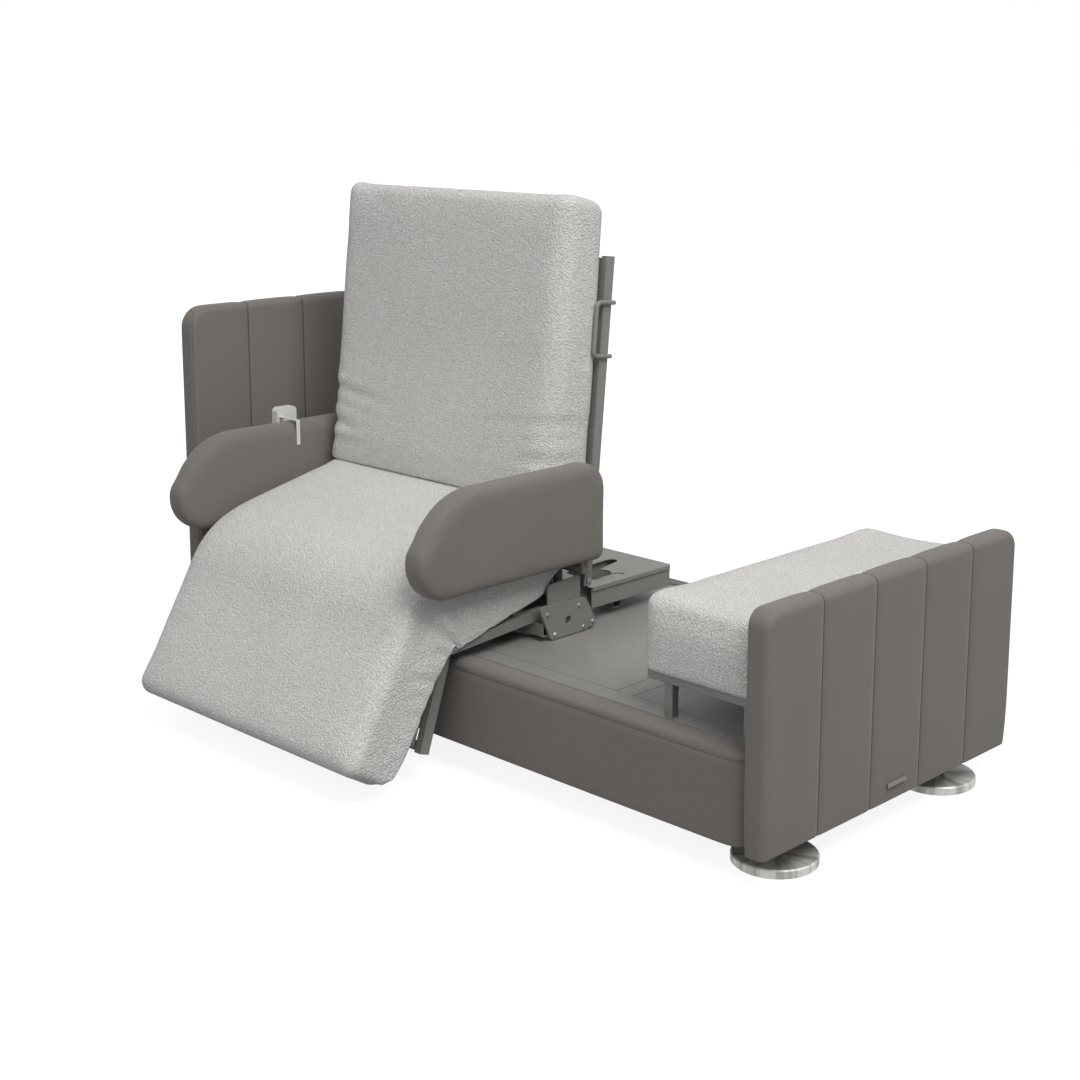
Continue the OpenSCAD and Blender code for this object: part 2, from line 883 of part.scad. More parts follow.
module leg_tubes() {
  nose = 11;
  len = 275;
  heel_x = 12;
  chair() color(metal_c) {
    knee_frame(leg_tube_slope) {
      difference() {
        both_sides() translate([leg_tube_in, -len, -15]) cube([tube_x, len + nose, 30]);
        rod_x(-leg_tube_in - tube_x - 1, 2 * (leg_tube_in + tube_x + 1), pin_r + pin_play);
      }
      for (u = [-70, -len + 14]) translate([-leg_tube_in + weld_gap, u, -3]) {
        tube_along_x(2 * (leg_tube_in - weld_gap), 22, 22);
      }
    }
    // heel that the leg actuator pushes
    translate([leg_act_x - heel_x / 2, -knee_y, knee_z]) rotate([heel_a, 0, 0]) difference() {
      translate([0, -heel_half, -heel_r - 3]) cube([heel_x, 2 * heel_half, heel_r + 3]);
      rod_x(-1, heel_x + 2, pin_r + pin_play);
    }
    knee_frame(leg_tube_slope) difference() {
      translate([leg_act_x - heel_x / 2, -72, -12]) cube([heel_x, 84, 20]);
      rod_x(leg_act_x - heel_x, heel_x * 2, pin_r + pin_play);
    }
    // wedge gussets between the tubes and the pan
    knee_frame(leg_slope) both_sides() along_x(leg_tube_in - 4 - weld_gap, 4) {
      polygon([[-60, leg_pan_low], [-60, 0], [-262, -36], [-262, leg_pan_low]]);
    }
  }
}

module leg_pan() {
  chair() color(metal_c) knee_frame(leg_slope) {
    translate([-half_seat + 25, -leg_len + 12, leg_pan_low]) cube([seat_w - 50, leg_len - 60, pan_t]);
  }
}

module leg_cushion() {
  end_gap = 1.5;
  chair() color(cover_c) knee_frame(leg_slope) translate([-half_seat, -leg_len, leg_under]) {
    cube([seat_w, leg_len - end_gap, leg_t]);
  }
}

// ---- back ----

module back_tubes() {
  top = 855;
  foot = 16;
  chair() color(metal_c) back_frame() {
    both_sides() translate([back_tube_in, 0, 0]) difference() {
      translate([tube_x / 2, 0, -foot]) linear_extrude(top + foot) round_rect(tube_x, tube_deep, 2);
      rod_x(-1, tube_x + 2, pin_r + pin_play);
    }
    for (w = [70, 460, top - 18]) {
      translate([-back_tube_in + weld_gap, 0, w]) tube_along_x(2 * (back_tube_in - weld_gap), 24, 24);
    }
  }
}

// Sheet panel behind the back cushion, with ventilation slots
module back_panel() {
  low = 55;
  high = 850;
  slot = [120, 14];
  chair() color(metal_c) back_frame() translate([0, -tube_deep / 2, (low + high) / 2]) {
    rotate([90, 0, 0]) linear_extrude(pan_t) difference() {
      round_rect(seat_w - 2, high - low, 10);
      for (ix = [-2:2], iz = [-5:5]) {
        translate([ix * 160, iz * 68]) round_rect(slot[0], slot[1], 6);
      }
    }
  }
}

loop_low = 596;
loop_h = 140;
loop_front = -49;
loop_reach = 66;
loop_r = 6;

// Bent rod loops that hold the mattress from the sides
module mattress_loops() {
  bend = 14;
  chair() color(metal_c) back_frame() both_sides() {
    translate([half_seat + loop_r, 0, loop_low]) {
      for (z = [0, loop_h]) translate([0, loop_front + bend, z]) rotate([-90, 0, 0]) {
        cylinder(h = loop_reach - bend, r = loop_r);
      }
      translate([0, loop_front, bend]) cylinder(h = loop_h - 2 * bend, r = loop_r);
      translate([0, loop_front + bend, bend]) rotate([0, 90, 0]) rotate([0, 0, 90]) {
        rotate([0, 0, 180]) rotate_extrude(angle = 90) translate([bend, 0]) circle(loop_r, $fn = 32);
      }
      translate([0, loop_front + bend, loop_h - bend]) rotate([0, 90, 0]) rotate([0, 0, 90]) {
        rotate([0, 0, 90]) rotate_extrude(angle = 90) translate([bend, 0]) circle(loop_r, $fn = 32);
      }
    }
  }
}

module back_cushion() {
  rise = sin(seat_slope + back_lean) * back_t;
  low = 210;
  chair() color(cover_c) back_frame() along_x(-half_seat, seat_w) {
    polygon([[-back_under, low + rise], [-back_under - back_t, low],
      [-back_under - back_t, back_top], [-back_under, back_top]]);
  }
}

// ---- armrests ----

// Side outline of an armrest pad, front at the left
module pad_shape() {
  rear_r = 76;
  low_r = 30;
  nose_r = 100;
  nose_start = 160;
  brow_r = 214;
  brow_end = 151;
  front = arm_rear - arm_len;
  polygon(concat(
    arc(arm_rear - rear_r, arm_top - rear_r, rear_r, 0, 90, 8),
    arc(front + brow_r, arm_top - brow_r, brow_r, 90, brow_end, 14),
    arc(front + nose_r, arm_low + nose_r, nose_r, nose_start, 270, 12),
    arc(arm_rear - low_r, arm_low + low_r, low_r, 270, 360, 5)
  ));
}

module armrest_pad() {
  along_x(arm_in, arm_t) pad_shape();
}

// Post, elbow and spigot of one armrest
module armrest_post() {
  r = post_d / 2;
  spigot_low = socket_low - beam_h + 12 + 1;
  translate([post_x + 10, post_y, elbow_z]) cylinder(h = arm_low - elbow_z, r = r);
  translate([post_x + 10, post_y, elbow_z]) sphere(r);
  translate([spigot_x, post_y, elbow_z]) rod_x(0, post_x + 10 - spigot_x, r);
  translate([spigot_x, post_y, elbow_z]) sphere(r);
  translate([spigot_x, post_y, spigot_low]) cylinder(h = elbow_z - spigot_low, r = r);
}

module near_armrest_pad() { chair() color(fabric_c) armrest_pad(); }
module near_armrest_post() { chair() color(metal_c) armrest_post(); }
module far_armrest_pad() { chair() color(fabric_c) mirror([1, 0, 0]) armrest_pad(); }
module far_armrest_post() { chair() color(metal_c) mirror([1, 0, 0]) armrest_post(); }

// ---- handset ----

handset_x = -(arm_in + arm_t + side_gap);
handset_y = -268;
handset_top = arm_top + 28;

module handset_case() {
  hook_w = 12;
  hook_t = 2;
  hook_inset = 7;
  hook_y = handset_y - handset_w / 2 + hook_w / 2 + hook_inset;
  hook_drop = 72;
  chair() color(plastic_c) {
    difference() {
      translate([handset_x - handset_t, handset_y, handset_top - handset_h / 2]) {
        rotate([90, 0, 90]) linear_extrude(handset_t) round_rect(handset_w, handset_h, 14);
      }
      key_pockets();
    }
    translate([handset_x - 2, hook_y - hook_w / 2, arm_top + soft_gap]) {
      cube([arm_t + 2 * side_gap + 1 + hook_t, hook_w, hook_t]);
    }
    translate([-arm_in + side_gap - 1, hook_y - hook_w / 2, arm_top + soft_gap + hook_t - hook_drop]) {
      cube([hook_t, hook_w, hook_drop]);
    }
  }
}

// A round key, two columns and two rows on the handset's outer face
key_r = 8;
key_h = 4;
key_proud = 1.8;
key_play = 0.3;
key_pocket = key_h - key_proud + button_travel + 0.3;

module at_key(col, row) {
  translate([handset_x - handset_t, handset_y + col * 15, handset_top - 46 - row * 32]) children();
}

module key_pockets() {
  for (col = [-1, 1], row = [0, 1]) at_key(col, row) rod_x(-1, key_pocket + 1, key_r + key_play);
}

module handset_key(col, row) {
  chair() color(dark_c) at_key(col, row) rod_x(-key_proud, key_h, key_r);
}

module button_back_up() { handset_key(-1, 0); }
module button_back_down() { handset_key(-1, 1); }
module button_legs_up() { handset_key(1, 0); }
module button_legs_down() { handset_key(1, 1); }

headboard();
footboard();
badge_plate();
near_side_rail();
far_side_rail();
base_longerons();
base_crossmembers();
floor_discs();
foot_stems();
deck_main_panel();
deck_cross_panel();
deck_foot_panel();
deck_edge_strips();
foot_platform_frame();
foot_platform_legs();
foot_mattress();
slewing_ring();
swivel_motor();
control_box();
handset_gland();
turntable_hub();
carrier_beams();
carrier_arms();
carrier_side_plates();
cover_plate();
cover_skirts();
side_brackets();
bracket_screws();
mattress_flaps();
armrest_sockets();
knee_shaft();
recline_pins();
back_actuator();
leg_actuator();
lift_bearings();
lift_motor();
lift_shaft();
seat_side_tubes();
seat_cross_tubes();
seat_pan();
seat_cushion();
leg_tubes();
leg_pan();
leg_cushion();
back_tubes();
back_panel();
back_lever();
mattress_loops();
back_cushion();
back_actuator_rod();
leg_actuator_rod();
near_armrest_pad();
near_armrest_post();
far_armrest_pad();
far_armrest_post();
handset_case();
button_back_up();
button_back_down();
button_legs_up();
button_legs_down();
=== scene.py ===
# %% [markdown]
# # A turning chair-bed
#
# The real thing is a bed whose middle section is a powered armchair on a
# turntable. The frame below it is steel and is already measured: every tube,
# plate and pin comes in as it was drawn. This script dresses that frame. It
# makes the soft parts as soft parts, and gives every surface its finish.

# %% Load the frame
import json
import math

import bpy
import numpy as np
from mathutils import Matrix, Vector


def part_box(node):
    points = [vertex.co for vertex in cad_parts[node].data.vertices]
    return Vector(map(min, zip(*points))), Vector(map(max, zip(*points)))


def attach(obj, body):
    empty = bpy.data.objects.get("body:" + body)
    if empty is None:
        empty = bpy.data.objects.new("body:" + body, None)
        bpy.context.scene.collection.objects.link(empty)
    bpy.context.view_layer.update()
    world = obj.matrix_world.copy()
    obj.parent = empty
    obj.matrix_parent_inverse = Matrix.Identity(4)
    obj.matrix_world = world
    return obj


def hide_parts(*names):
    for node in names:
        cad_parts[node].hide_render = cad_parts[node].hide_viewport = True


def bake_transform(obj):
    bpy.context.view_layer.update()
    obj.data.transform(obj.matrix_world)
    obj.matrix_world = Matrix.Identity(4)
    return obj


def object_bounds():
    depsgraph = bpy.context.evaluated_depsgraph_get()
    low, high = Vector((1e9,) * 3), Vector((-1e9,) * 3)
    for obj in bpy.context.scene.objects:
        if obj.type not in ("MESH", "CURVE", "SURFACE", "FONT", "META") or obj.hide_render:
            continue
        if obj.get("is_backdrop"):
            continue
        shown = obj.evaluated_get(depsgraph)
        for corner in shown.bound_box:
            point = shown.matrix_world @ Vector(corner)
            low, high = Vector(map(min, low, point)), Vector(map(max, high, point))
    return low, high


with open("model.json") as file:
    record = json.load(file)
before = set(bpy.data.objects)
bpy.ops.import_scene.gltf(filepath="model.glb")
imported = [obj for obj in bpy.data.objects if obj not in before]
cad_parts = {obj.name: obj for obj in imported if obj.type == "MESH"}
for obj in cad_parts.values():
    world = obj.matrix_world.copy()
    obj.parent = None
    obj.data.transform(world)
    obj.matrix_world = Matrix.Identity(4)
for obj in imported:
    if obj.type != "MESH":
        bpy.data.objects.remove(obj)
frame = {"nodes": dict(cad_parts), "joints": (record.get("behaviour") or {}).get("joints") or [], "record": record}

cad_low, cad_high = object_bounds()
nodes = frame["nodes"]
print("frame", [round(b - a, 3) for a, b in zip(cad_low, cad_high)], "metres,", len(nodes), "parts")

# %% [markdown]
# ## Where the chair bends
#
# The seat drops and the leg-rest swings on one axle at the knee, and the back
# reclines on a second axle behind the seat. The joints of the frame say where
# both are, and three slopes say how the chair stands when it is turned out.

# %% Axes and slopes
pivots = {joint["name"]: Vector(joint["pos_m"]) for joint in frame["joints"] if "pos_m" in joint}
knee = pivots["leg_raise"]
hip = pivots["back_recline"]
seat_slope = math.radians(12.5)
leg_slope = math.radians(60)
back_lean = math.radians(5.5)
mattress_half = (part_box("back_cushion")[1].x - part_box("back_cushion")[0].x) / 2
print("knee", [round(v, 3) for v in knee], "hip", [round(v, 3) for v in hip])

# %% [markdown]
# ## The camera
#
# A furniture picture is taken from a corner with a long lens, so that the
# uprights stay upright. Some of that comes from sliding the lens up instead of
# tipping the camera. The slide here is kept small, because other views of the
# same object keep it.

# %% Set up the camera
camera_place = (3.1813, -3.1335, 1.7006)
tipped_down = 11.1
turned = 44.81
bpy.ops.object.select_all(action="DESELECT")
bpy.ops.object.camera_add(
    location=camera_place,
    rotation=(math.radians(90 - tipped_down), 0, math.radians(turned)))
camera = bpy.context.object
camera.data.sensor_width = 36
camera.data.lens = 58.429
camera.data.shift_y = -0.10
camera.data.clip_end = 60
bpy.context.scene.camera = camera
bpy.context.scene.view_settings.view_transform = "Standard"
print("lens", round(camera.data.lens, 1), "mm")

# %% [markdown]
# ## Plain floor and soft light
#
# The floor is pale and catches a soft shadow. What the camera sees of the
# background is white, but the light that reaches the object from there is
# weaker, so that pale covers keep their shading. The Light Path node tells the
# two apart: camera, glossy and transmission rays see white.

# %% Helpers for node trees
def add_node(tree, kind, **settings):
    made = tree.nodes.new("ShaderNode" + kind)
    for name, value in settings.items():
        setattr(made, name, value)
    return made


def feed(tree, socket, value):
    """Links an output to a socket, or sets the socket to a plain value."""
    if isinstance(value, bpy.types.NodeSocket):
        tree.links.new(value, socket)
    else:
        socket.default_value = value


def calc(tree, operation, *values, clamp=False):
    made = add_node(tree, "Math", operation=operation, use_clamp=clamp)
    for socket, value in zip(made.inputs, values):
        feed(tree, socket, value)
    return made.outputs[0]


def seen_directly(tree):
    """1 for rays that show the background as it is, 0 for light that falls on things."""
    path = add_node(tree, "LightPath")
    both = calc(tree, "MAXIMUM", path.outputs["Is Camera Ray"], path.outputs["Is Glossy Ray"])
    return calc(tree, "MAXIMUM", both, path.outputs["Is Transmission Ray"])


# %% Background
world = bpy.data.worlds.new("studio")
bpy.context.scene.world = world
world.use_nodes = True
sky = world.node_tree
sky.nodes.clear()
ambient = 0.43
strength = calc(sky, "MULTIPLY_ADD", seen_directly(sky), 1.0 - ambient, ambient)
background = add_node(sky, "Background")
feed(sky, background.inputs["Color"], (1, 1, 1, 1))
feed(sky, background.inputs["Strength"], strength)
sky.links.new(background.outputs[0], add_node(sky, "OutputWorld").inputs["Surface"])
print("ambient light", ambient)

# %% Floor
bpy.ops.object.select_all(action="DESELECT")
bpy.ops.mesh.primitive_plane_add(size=60, location=(0, 0, -0.0002))
floor = bpy.context.object
floor.name = "floor"
floor_finish = bpy.data.materials.new("floor")
floor_finish.use_nodes = True
ground = floor_finish.node_tree
matt = ground.nodes["Principled BSDF"]
matt.inputs["Base Color"].default_value = (0.22, 0.22, 0.22, 1)
matt.inputs["Roughness"].default_value = 0.9
matt.inputs["Emission Color"].default_value = (1, 1, 1, 1)
spot = add_node(ground, "VectorMath", operation="LENGTH")
feed(ground, spot.inputs[0], add_node(ground, "TexCoord").outputs["Object"])
far_off = add_node(ground, "MapRange", interpolation_type="SMOOTHSTEP")
glow_below, glow_around = 0.88, 1.0
for socket, item in zip(far_off.inputs, (spot.outputs["Value"], 1.2, 4.0, glow_below, glow_around)):
    feed(ground, socket, item)
glow = calc(ground, "MULTIPLY", seen_directly(ground), far_off.outputs[0])
feed(ground, matt.inputs["Emission Strength"], glow)
floor.data.materials.append(floor_finish)
floor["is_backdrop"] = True
print("floor ready")


# %% Lamps
def soft_lamp(name, place, size, power):
    """A square lamp that faces the middle of the object."""
    bpy.ops.object.select_all(action="DESELECT")
    aim = (Vector((0, 0.0, 0.6)) - Vector(place)).to_track_quat("-Z", "Y").to_euler()
    bpy.ops.object.light_add(type="AREA", location=place, rotation=aim)
    lamp = bpy.context.object
    lamp.name = name
    lamp.data.shape = "SQUARE"
    lamp.data.size = size
    lamp.data.energy = power
    return lamp


lamps = [
    soft_lamp("key_lamp", (4.6, -1.2, 7.0), 4.2, 510),
    soft_lamp("fill_lamp", (1.6, -4.6, 2.8), 3.2, 58),
]
print(len(lamps), "lamps")

# %% [markdown]
# ## Tools for shaping
#
# Every new piece starts as a block, at its size and place. Edges are picked by
# where they are and rounded with a bevel, rings of edges are added with
# bisect where the surface has to bend, and then the points are pushed into
# shape. A last subdivision makes the surface smooth.

# %% Helpers for modelling
def alone(piece):
    """Makes one piece the only selected one."""
    bpy.ops.object.select_all(action="DESELECT")
    piece.select_set(True)
    bpy.context.view_layer.objects.active = piece


def settle(piece):
    """Moves the piece's place and turn into its mesh."""
    alone(piece)
    bpy.ops.object.transform_apply(location=True, rotation=True, scale=True)


def block(name, low, high):
    low, high = Vector(low), Vector(high)
    bpy.ops.object.select_all(action="DESELECT")
    bpy.ops.mesh.primitive_cube_add(size=1, location=(low + high) / 2, scale=high - low)
    piece = bpy.context.object
    piece.name = piece.data.name = name
    settle(piece)
    return piece


def points_of(piece):
    flat = np.zeros(len(piece.data.vertices) * 3)
    piece.data.vertices.foreach_get("co", flat)
    return flat.reshape(-1, 3)


def normals_of(piece):
    flat = np.zeros(len(piece.data.vertices) * 3)
    piece.data.vertex_normals.foreach_get("vector", flat)
    return flat.reshape(-1, 3)


def put_points(piece, points):
    piece.data.vertices.foreach_set("co", np.ascontiguousarray(points, float).ravel())
    piece.data.update()


def round_edges(piece, wanted, radius, steps):
    """Bevels the edges for which wanted(end, other end) is true."""
    alone(piece)
    bpy.ops.object.mode_set(mode="EDIT")
    bpy.ops.mesh.select_mode(type="EDGE")
    bpy.ops.mesh.select_all(action="DESELECT")
    bpy.ops.object.mode_set(mode="OBJECT")
    mesh = piece.data
    for edge in mesh.edges:
        edge.select = wanted(*(mesh.vertices[i].co for i in edge.vertices))
    bpy.ops.object.mode_set(mode="EDIT")
    bpy.ops.mesh.bevel(offset=radius, segments=steps, profile=0.5, affect="EDGES")
    bpy.ops.object.mode_set(mode="OBJECT")


def cut(piece, axis, places):
    """Adds a ring of edges right round the piece at each place along the axis."""
    alone(piece)
    across = [float(axis == i) for i in range(3)]
    bpy.ops.object.mode_set(mode="EDIT")
    for place in places:
        bpy.ops.mesh.select_all(action="SELECT")
        bpy.ops.mesh.bisect(plane_co=[place * a for a in across], plane_no=across)
    bpy.ops.object.mode_set(mode="OBJECT")


def refine(piece, levels):
    """Subdivides a finished cage into a smooth surface."""
    alone(piece)
    bpy.ops.object.modifier_add(type="SUBSURF")
    smooth = piece.modifiers[-1]
    smooth.levels = smooth.render_levels = levels
    bpy.ops.object.modifier_apply(modifier=smooth.name)
    bpy.ops.object.shade_smooth()


def steps_between(start, stop, pitch):
    """Evenly spaced places inside a span, about a pitch apart."""
    count = max(1, round((stop - start) / pitch))
    return [start + (stop - start) * i / count for i in range(1, count)]


def same(*values, near=1e-5):
    return max(values) - min(values) < near


print("modelling helpers ready")

# %% [markdown]
# ## Stuffing
#
# A mattress is foam in a loose knitted cover. Foam pushes evenly from inside,
# and that is what Cloth with pressure does: the sides belly out between the
# edges, and small unevenness appears by itself. The face that lies on a
# platform is held still. How far a point may travel is capped, because foam
# doesn't blow up like a balloon.

# %% Cloth pass for padded pieces
def swell(piece, held, most, pressure=4.0):
    """Swells the piece for 20 frames. held(points) marks points that stay; most is the longest move."""
    before = points_of(piece)
    alone(piece)
    group = piece.vertex_groups.new(name="held")
    group.add([int(i) for i in np.flatnonzero(held(before))], 1.0, "REPLACE")
    bpy.ops.object.modifier_add(type="CLOTH")
    cloth = piece.modifiers[-1]
    feel = cloth.settings
    feel.quality = 6
    feel.mass = 0.3
    feel.tension_stiffness = feel.compression_stiffness = 30
    feel.shear_stiffness = 10
    feel.bending_stiffness = 2
    feel.use_pressure = True
    feel.uniform_pressure_force = pressure
    feel.effector_weights.gravity = 0
    feel.vertex_group_mass = group.name
    cloth.point_cache.frame_start, cloth.point_cache.frame_end = 1, 20
    for frame_number in range(1, 21):
        bpy.context.scene.frame_set(frame_number)
    bpy.ops.object.modifier_apply(modifier=cloth.name)
    piece.vertex_groups.clear()
    bpy.context.scene.frame_set(1)
    move = points_of(piece) - before
    length = np.linalg.norm(move, axis=1, keepdims=True)
    put_points(piece, before + move * np.minimum(1, most / np.maximum(length, 1e-9)))
    return float(length.max())


def crease(piece, folds):
    """Presses folds into a cover. Each is (start, end, half width, depth) in metres."""
    points, out = points_of(piece), normals_of(piece)
    for start, end, width, depth in folds:
        a, along = np.array(start), np.array(end) - np.array(start)
        share = np.clip((points - a) @ along / (along @ along), 0, 1)
        away = np.linalg.norm(points - a - share[:, None] * along, axis=1) / width
        taper = np.sin(np.pi * np.clip(share * 0.9 + 0.1, 0, 1)) ** 0.5
        valley = np.exp(-away**2) - 0.45 * np.exp(-((away - 2.1) ** 2))
        points -= out * (depth * taper * valley)[:, None]
    put_points(piece, points)


print("stuffing helpers ready")

# %% [markdown]
# ## End boards
#
# Each end board is a core with foam and a woven cover. The cover is quilted
# into five upright channels, and the seams between them run over the top edge
# and make it scalloped. The board starts as a block, the top corners and the
# long edges are rounded, and rings of edges crowd together at each seam so
# that the groove stays sharp when the rest is smoothed.

# %% Model an end board
channel = 0.200
quilt = 0.005
seam_reach = 0.055
groove_depth = groove_width = 0.0030
seam_offsets = (-0.055, -0.022, -0.008, -0.0025, 0.0, 0.0025, 0.008, 0.022, 0.055)


def quilted(piece, middle, seams, bottom):
    """Puffs the channels out and draws the seams in, along the surface's own normals."""
    points, out = points_of(piece), normals_of(piece)
    near = np.min([np.abs(points[:, 1] - middle - s) for s in seams], axis=0)
    puff = quilt * (1 - np.clip(1 - near / seam_reach, 0, 1) ** 2.6)
    groove = groove_depth * np.exp(-((near / groove_width) ** 2))
    facing = np.clip(np.hypot(out[:, 0], 0.5 * np.clip(out[:, 2], 0, 1)), 0, 1)
    low_fade = np.clip((points[:, 2] - bottom) / 0.05, 0, 1)
    points += out * ((puff * low_fade - groove) * facing)[:, None]
    put_points(piece, points)


def end_board(name, corner, edge):
    """A quilted board in the space of the CAD node of that name. corner and edge are radii."""
    low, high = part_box(name)
    middle = (low.y + high.y) / 2
    inset = Vector((quilt, 0.002, 0))
    piece = block("quilted_" + name, low + inset, high - inset - Vector((0, 0, quilt)))
    top, x0, x1 = high.z - quilt, low.x + quilt, high.x - quilt
    round_edges(piece, lambda a, b: same(a.z, b.z, top) and same(a.y, b.y), corner, 8)
    round_edges(
        piece,
        lambda a, b: (same(a.x, b.x, x0) or same(a.x, b.x, x1)) and not same(a.z, b.z, low.z),
        edge, 5)
    round_edges(piece, lambda a, b: same(a.z, b.z, low.z), 0.004, 2)
    seams = [channel * (k - 1.5) for k in range(4)]
    beside_seams = [middle + s + d for s in seams for d in seam_offsets]
    channel_middles = [middle + k * channel for k in (-2, -1, 0, 1, 2)]
    cut(piece, 1, beside_seams + channel_middles)
    cut(piece, 2, steps_between(low.z + 0.03, high.z - 0.08, 0.06))
    quilted(piece, middle, seams, low.z)
    refine(piece, 2)
    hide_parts(name)
    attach(piece, "base")
    print(piece.name, len(piece.data.polygons), "faces")
    return piece


headboard_corner = 0.060
headboard = end_board("headboard", headboard_corner, 0.018)
footboard = end_board("footboard", 0.040, 0.018)

# %% [markdown]
# ## Side rails
#
# The rails are boards with a thin layer of foam. The cover is sewn from two
# strips, and the seam runs along the outer face just below the rounded top
# edge. A groove a few millimetres wide is all that shows of it.

# %% Model a side rail
def side_rail(name, outward):
    """outward is -1 for the near rail and 1 for the far one."""
    low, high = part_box(name)
    swell_out = 0.002
    inset = Vector((0, swell_out, 0))
    piece = block("covered_" + name, low + inset, high - inset - Vector((0, 0, swell_out)))
    outer = (low.y + swell_out) if outward < 0 else (high.y - swell_out)
    top = high.z - swell_out
    round_edges(piece, lambda a, b: same(a.z, b.z, top) and same(a.y, b.y, outer), 0.020, 6)
    round_edges(piece, lambda a, b: same(a.z, b.z) and same(a.y, b.y), 0.006, 3)
    seam = top - 0.026
    beside_seam = [seam + d for d in (-0.016, -0.006, -0.002, 0, 0.002, 0.006)]
    cut(piece, 2, beside_seam + steps_between(low.z + 0.01, seam - 0.02, 0.05))
    cut(piece, 0, steps_between(low.x, high.x, 0.10))
    points, out = points_of(piece), normals_of(piece)
    near = np.abs(points[:, 2] - seam)
    puff = swell_out * (1 - np.exp(-((near / 0.012) ** 2)))
    face = np.clip(out[:, 1] * outward, 0, 1)
    unevenness = 0.0012 * np.sin(points[:, 0] * 9.0) * np.cos(points[:, 2] * 21.0)
    groove = 0.0012 * np.exp(-((near / 0.0022) ** 2))
    points += out * (face * (puff - groove + unevenness))[:, None]
    put_points(piece, points)
    refine(piece, 2)
    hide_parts(name)
    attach(piece, "base")
    print(piece.name, len(piece.data.polygons), "faces")
    return piece


near_rail = side_rail("near_side_rail", -1)
far_rail = side_rail("far_side_rail", 1)

# %% [markdown]
# ## Mattress blocks
#
# The three mattresses are slabs of foam in the same cover. Each is modelled as
# a straight slab with rounded edges and an even net of faces, because Cloth
# works best on even faces, and is then put in place.

# %% Start a mattress
def slab(name, low, high, *rounds, pitch=0.024):
    """A block with rounded edges. Each round is (test of an edge's two ends, radius), the largest first."""
    piece = block(name, low, high)
    for wanted, radius in rounds:
        round_edges(piece, wanted, radius, 5 if radius > 0.02 else 3)
    margin = rounds[0][1]
    for axis in range(3):
        cut(piece, axis, steps_between(low[axis] + margin, high[axis] - margin, pitch))
    return piece


def ramp(values, start, stop):
    """A smooth step from 0 at start to 1 at stop."""
    share = np.clip((values - start) / (stop - start), 0, 1)
    return share * share * (3 - 2 * share)


# %% [markdown]
# ## Seat and leg mattress
#
# The seat and the leg-rest share one mattress, which hangs over the knee of
# the chair. It is stuffed while it is straight and bent afterwards: a point's
# place along the slab becomes a place along the seat, round the knee or down
# the leg, and its height in the slab becomes a height above the platform. A
# lip hangs over the steel tubes at both sides, and both ends are tucked up.

# %% Bend the slab over the knee
bend_length = 0.105
seat_span, leg_span = 0.417, 0.384
slab_height = 0.190
proud = 0.004
tube_side = 0.4435
between_pads = 0.4555


def over_the_knee(points):
    """Maps a straight slab (x across, y along, z up) onto the seat and leg platforms."""
    x, y, z = points.T
    level = z / slab_height
    beside_posts = ramp(y, 0.37, 0.41) * ramp(np.abs(x), 0.33, 0.37) * (1 - ramp(level, 0.45, 0.75))
    y = y - 0.014 * beside_posts
    turn = np.clip(-y / bend_length, 0, 1)
    slope = seat_slope + turn * (leg_slope - seat_slope)
    ease = ramp(-y, -0.07, bend_length + 0.07)
    under, top = 0.0205 + ease * 0.027, 0.228 - ease * 0.027
    along = np.where(y > 0, y, np.minimum(y + bend_length, 0))
    slab_end = -bend_length - leg_span
    outside = np.clip((np.abs(x) - tube_side) / 0.004, 0, 1) * ramp(y, slab_end + 0.03, slab_end + 0.12)
    hang = outside * (0.010 + 0.030 * np.exp(-(((y + 0.03) / 0.11) ** 2)) + 0.012 * ramp(y, 0.0, 0.15))
    hang = hang * (1 - ramp(y, 0.30, 0.36))
    tuck = 0.024 * ramp(-y, -slab_end - 0.05, -slab_end) + 0.030 * ramp(y, 0.30, 0.38)
    up = under + (tuck - hang) * (1 - np.clip(level, 0, 1)) ** 3 + level * (top - under)
    return np.stack([
        knee.x + x,
        knee.y + along * np.cos(slope) - up * np.sin(slope),
        knee.z + along * np.sin(slope) + up * np.cos(slope)], axis=1)


underside = 0.001
leg_end = -bend_length - leg_span - 0.005
rear_end = seat_span - 0.003
seat_top = slab_height - 0.002
seat_mattress = slab(
    "seat_and_leg_mattress",
    (-mattress_half - proud, leg_end, underside), (mattress_half + proud, rear_end, seat_top),
    (lambda a, b: same(a.z, b.z, seat_top) and same(a.x, b.x), 0.040),
    (lambda a, b: same(a.y, b.y, leg_end), 0.040),
    (lambda a, b: max(a.y, b.y) > 0.3 and (same(a.z, b.z, underside) or min(a.y, b.y) > 0.3), 0.010))
cut(seat_mattress, 0, (-tube_side, tube_side))
travel = swell(seat_mattress, lambda p: (p[:, 2] < 0.004) | (p[:, 1] > rear_end - 0.003), 0.007)
points = points_of(seat_mattress)
below_pads = 1 - ramp(points[:, 1], -0.16, -0.04)
limit = between_pads + 0.016 * below_pads
points[:, 0] = np.clip(points[:, 0] * (1 + 0.022 * below_pads), -limit, limit)
put_points(seat_mattress, over_the_knee(points))
refine(seat_mattress, 1)
print("seat mattress swelled", round(travel * 1000, 1), "mm before the cap")


# %% Folds beside the knee
pleats = (
    (0.20, 0.05, 0.004), (0.11, 0.07, 0.006), (0.03, 0.09, 0.008), (-0.05, 0.10, 0.009),
    (-0.13, 0.08, 0.007), (-0.20, 0.09, 0.008), (-0.29, 0.06, 0.005))
pleat_half_width = 0.011


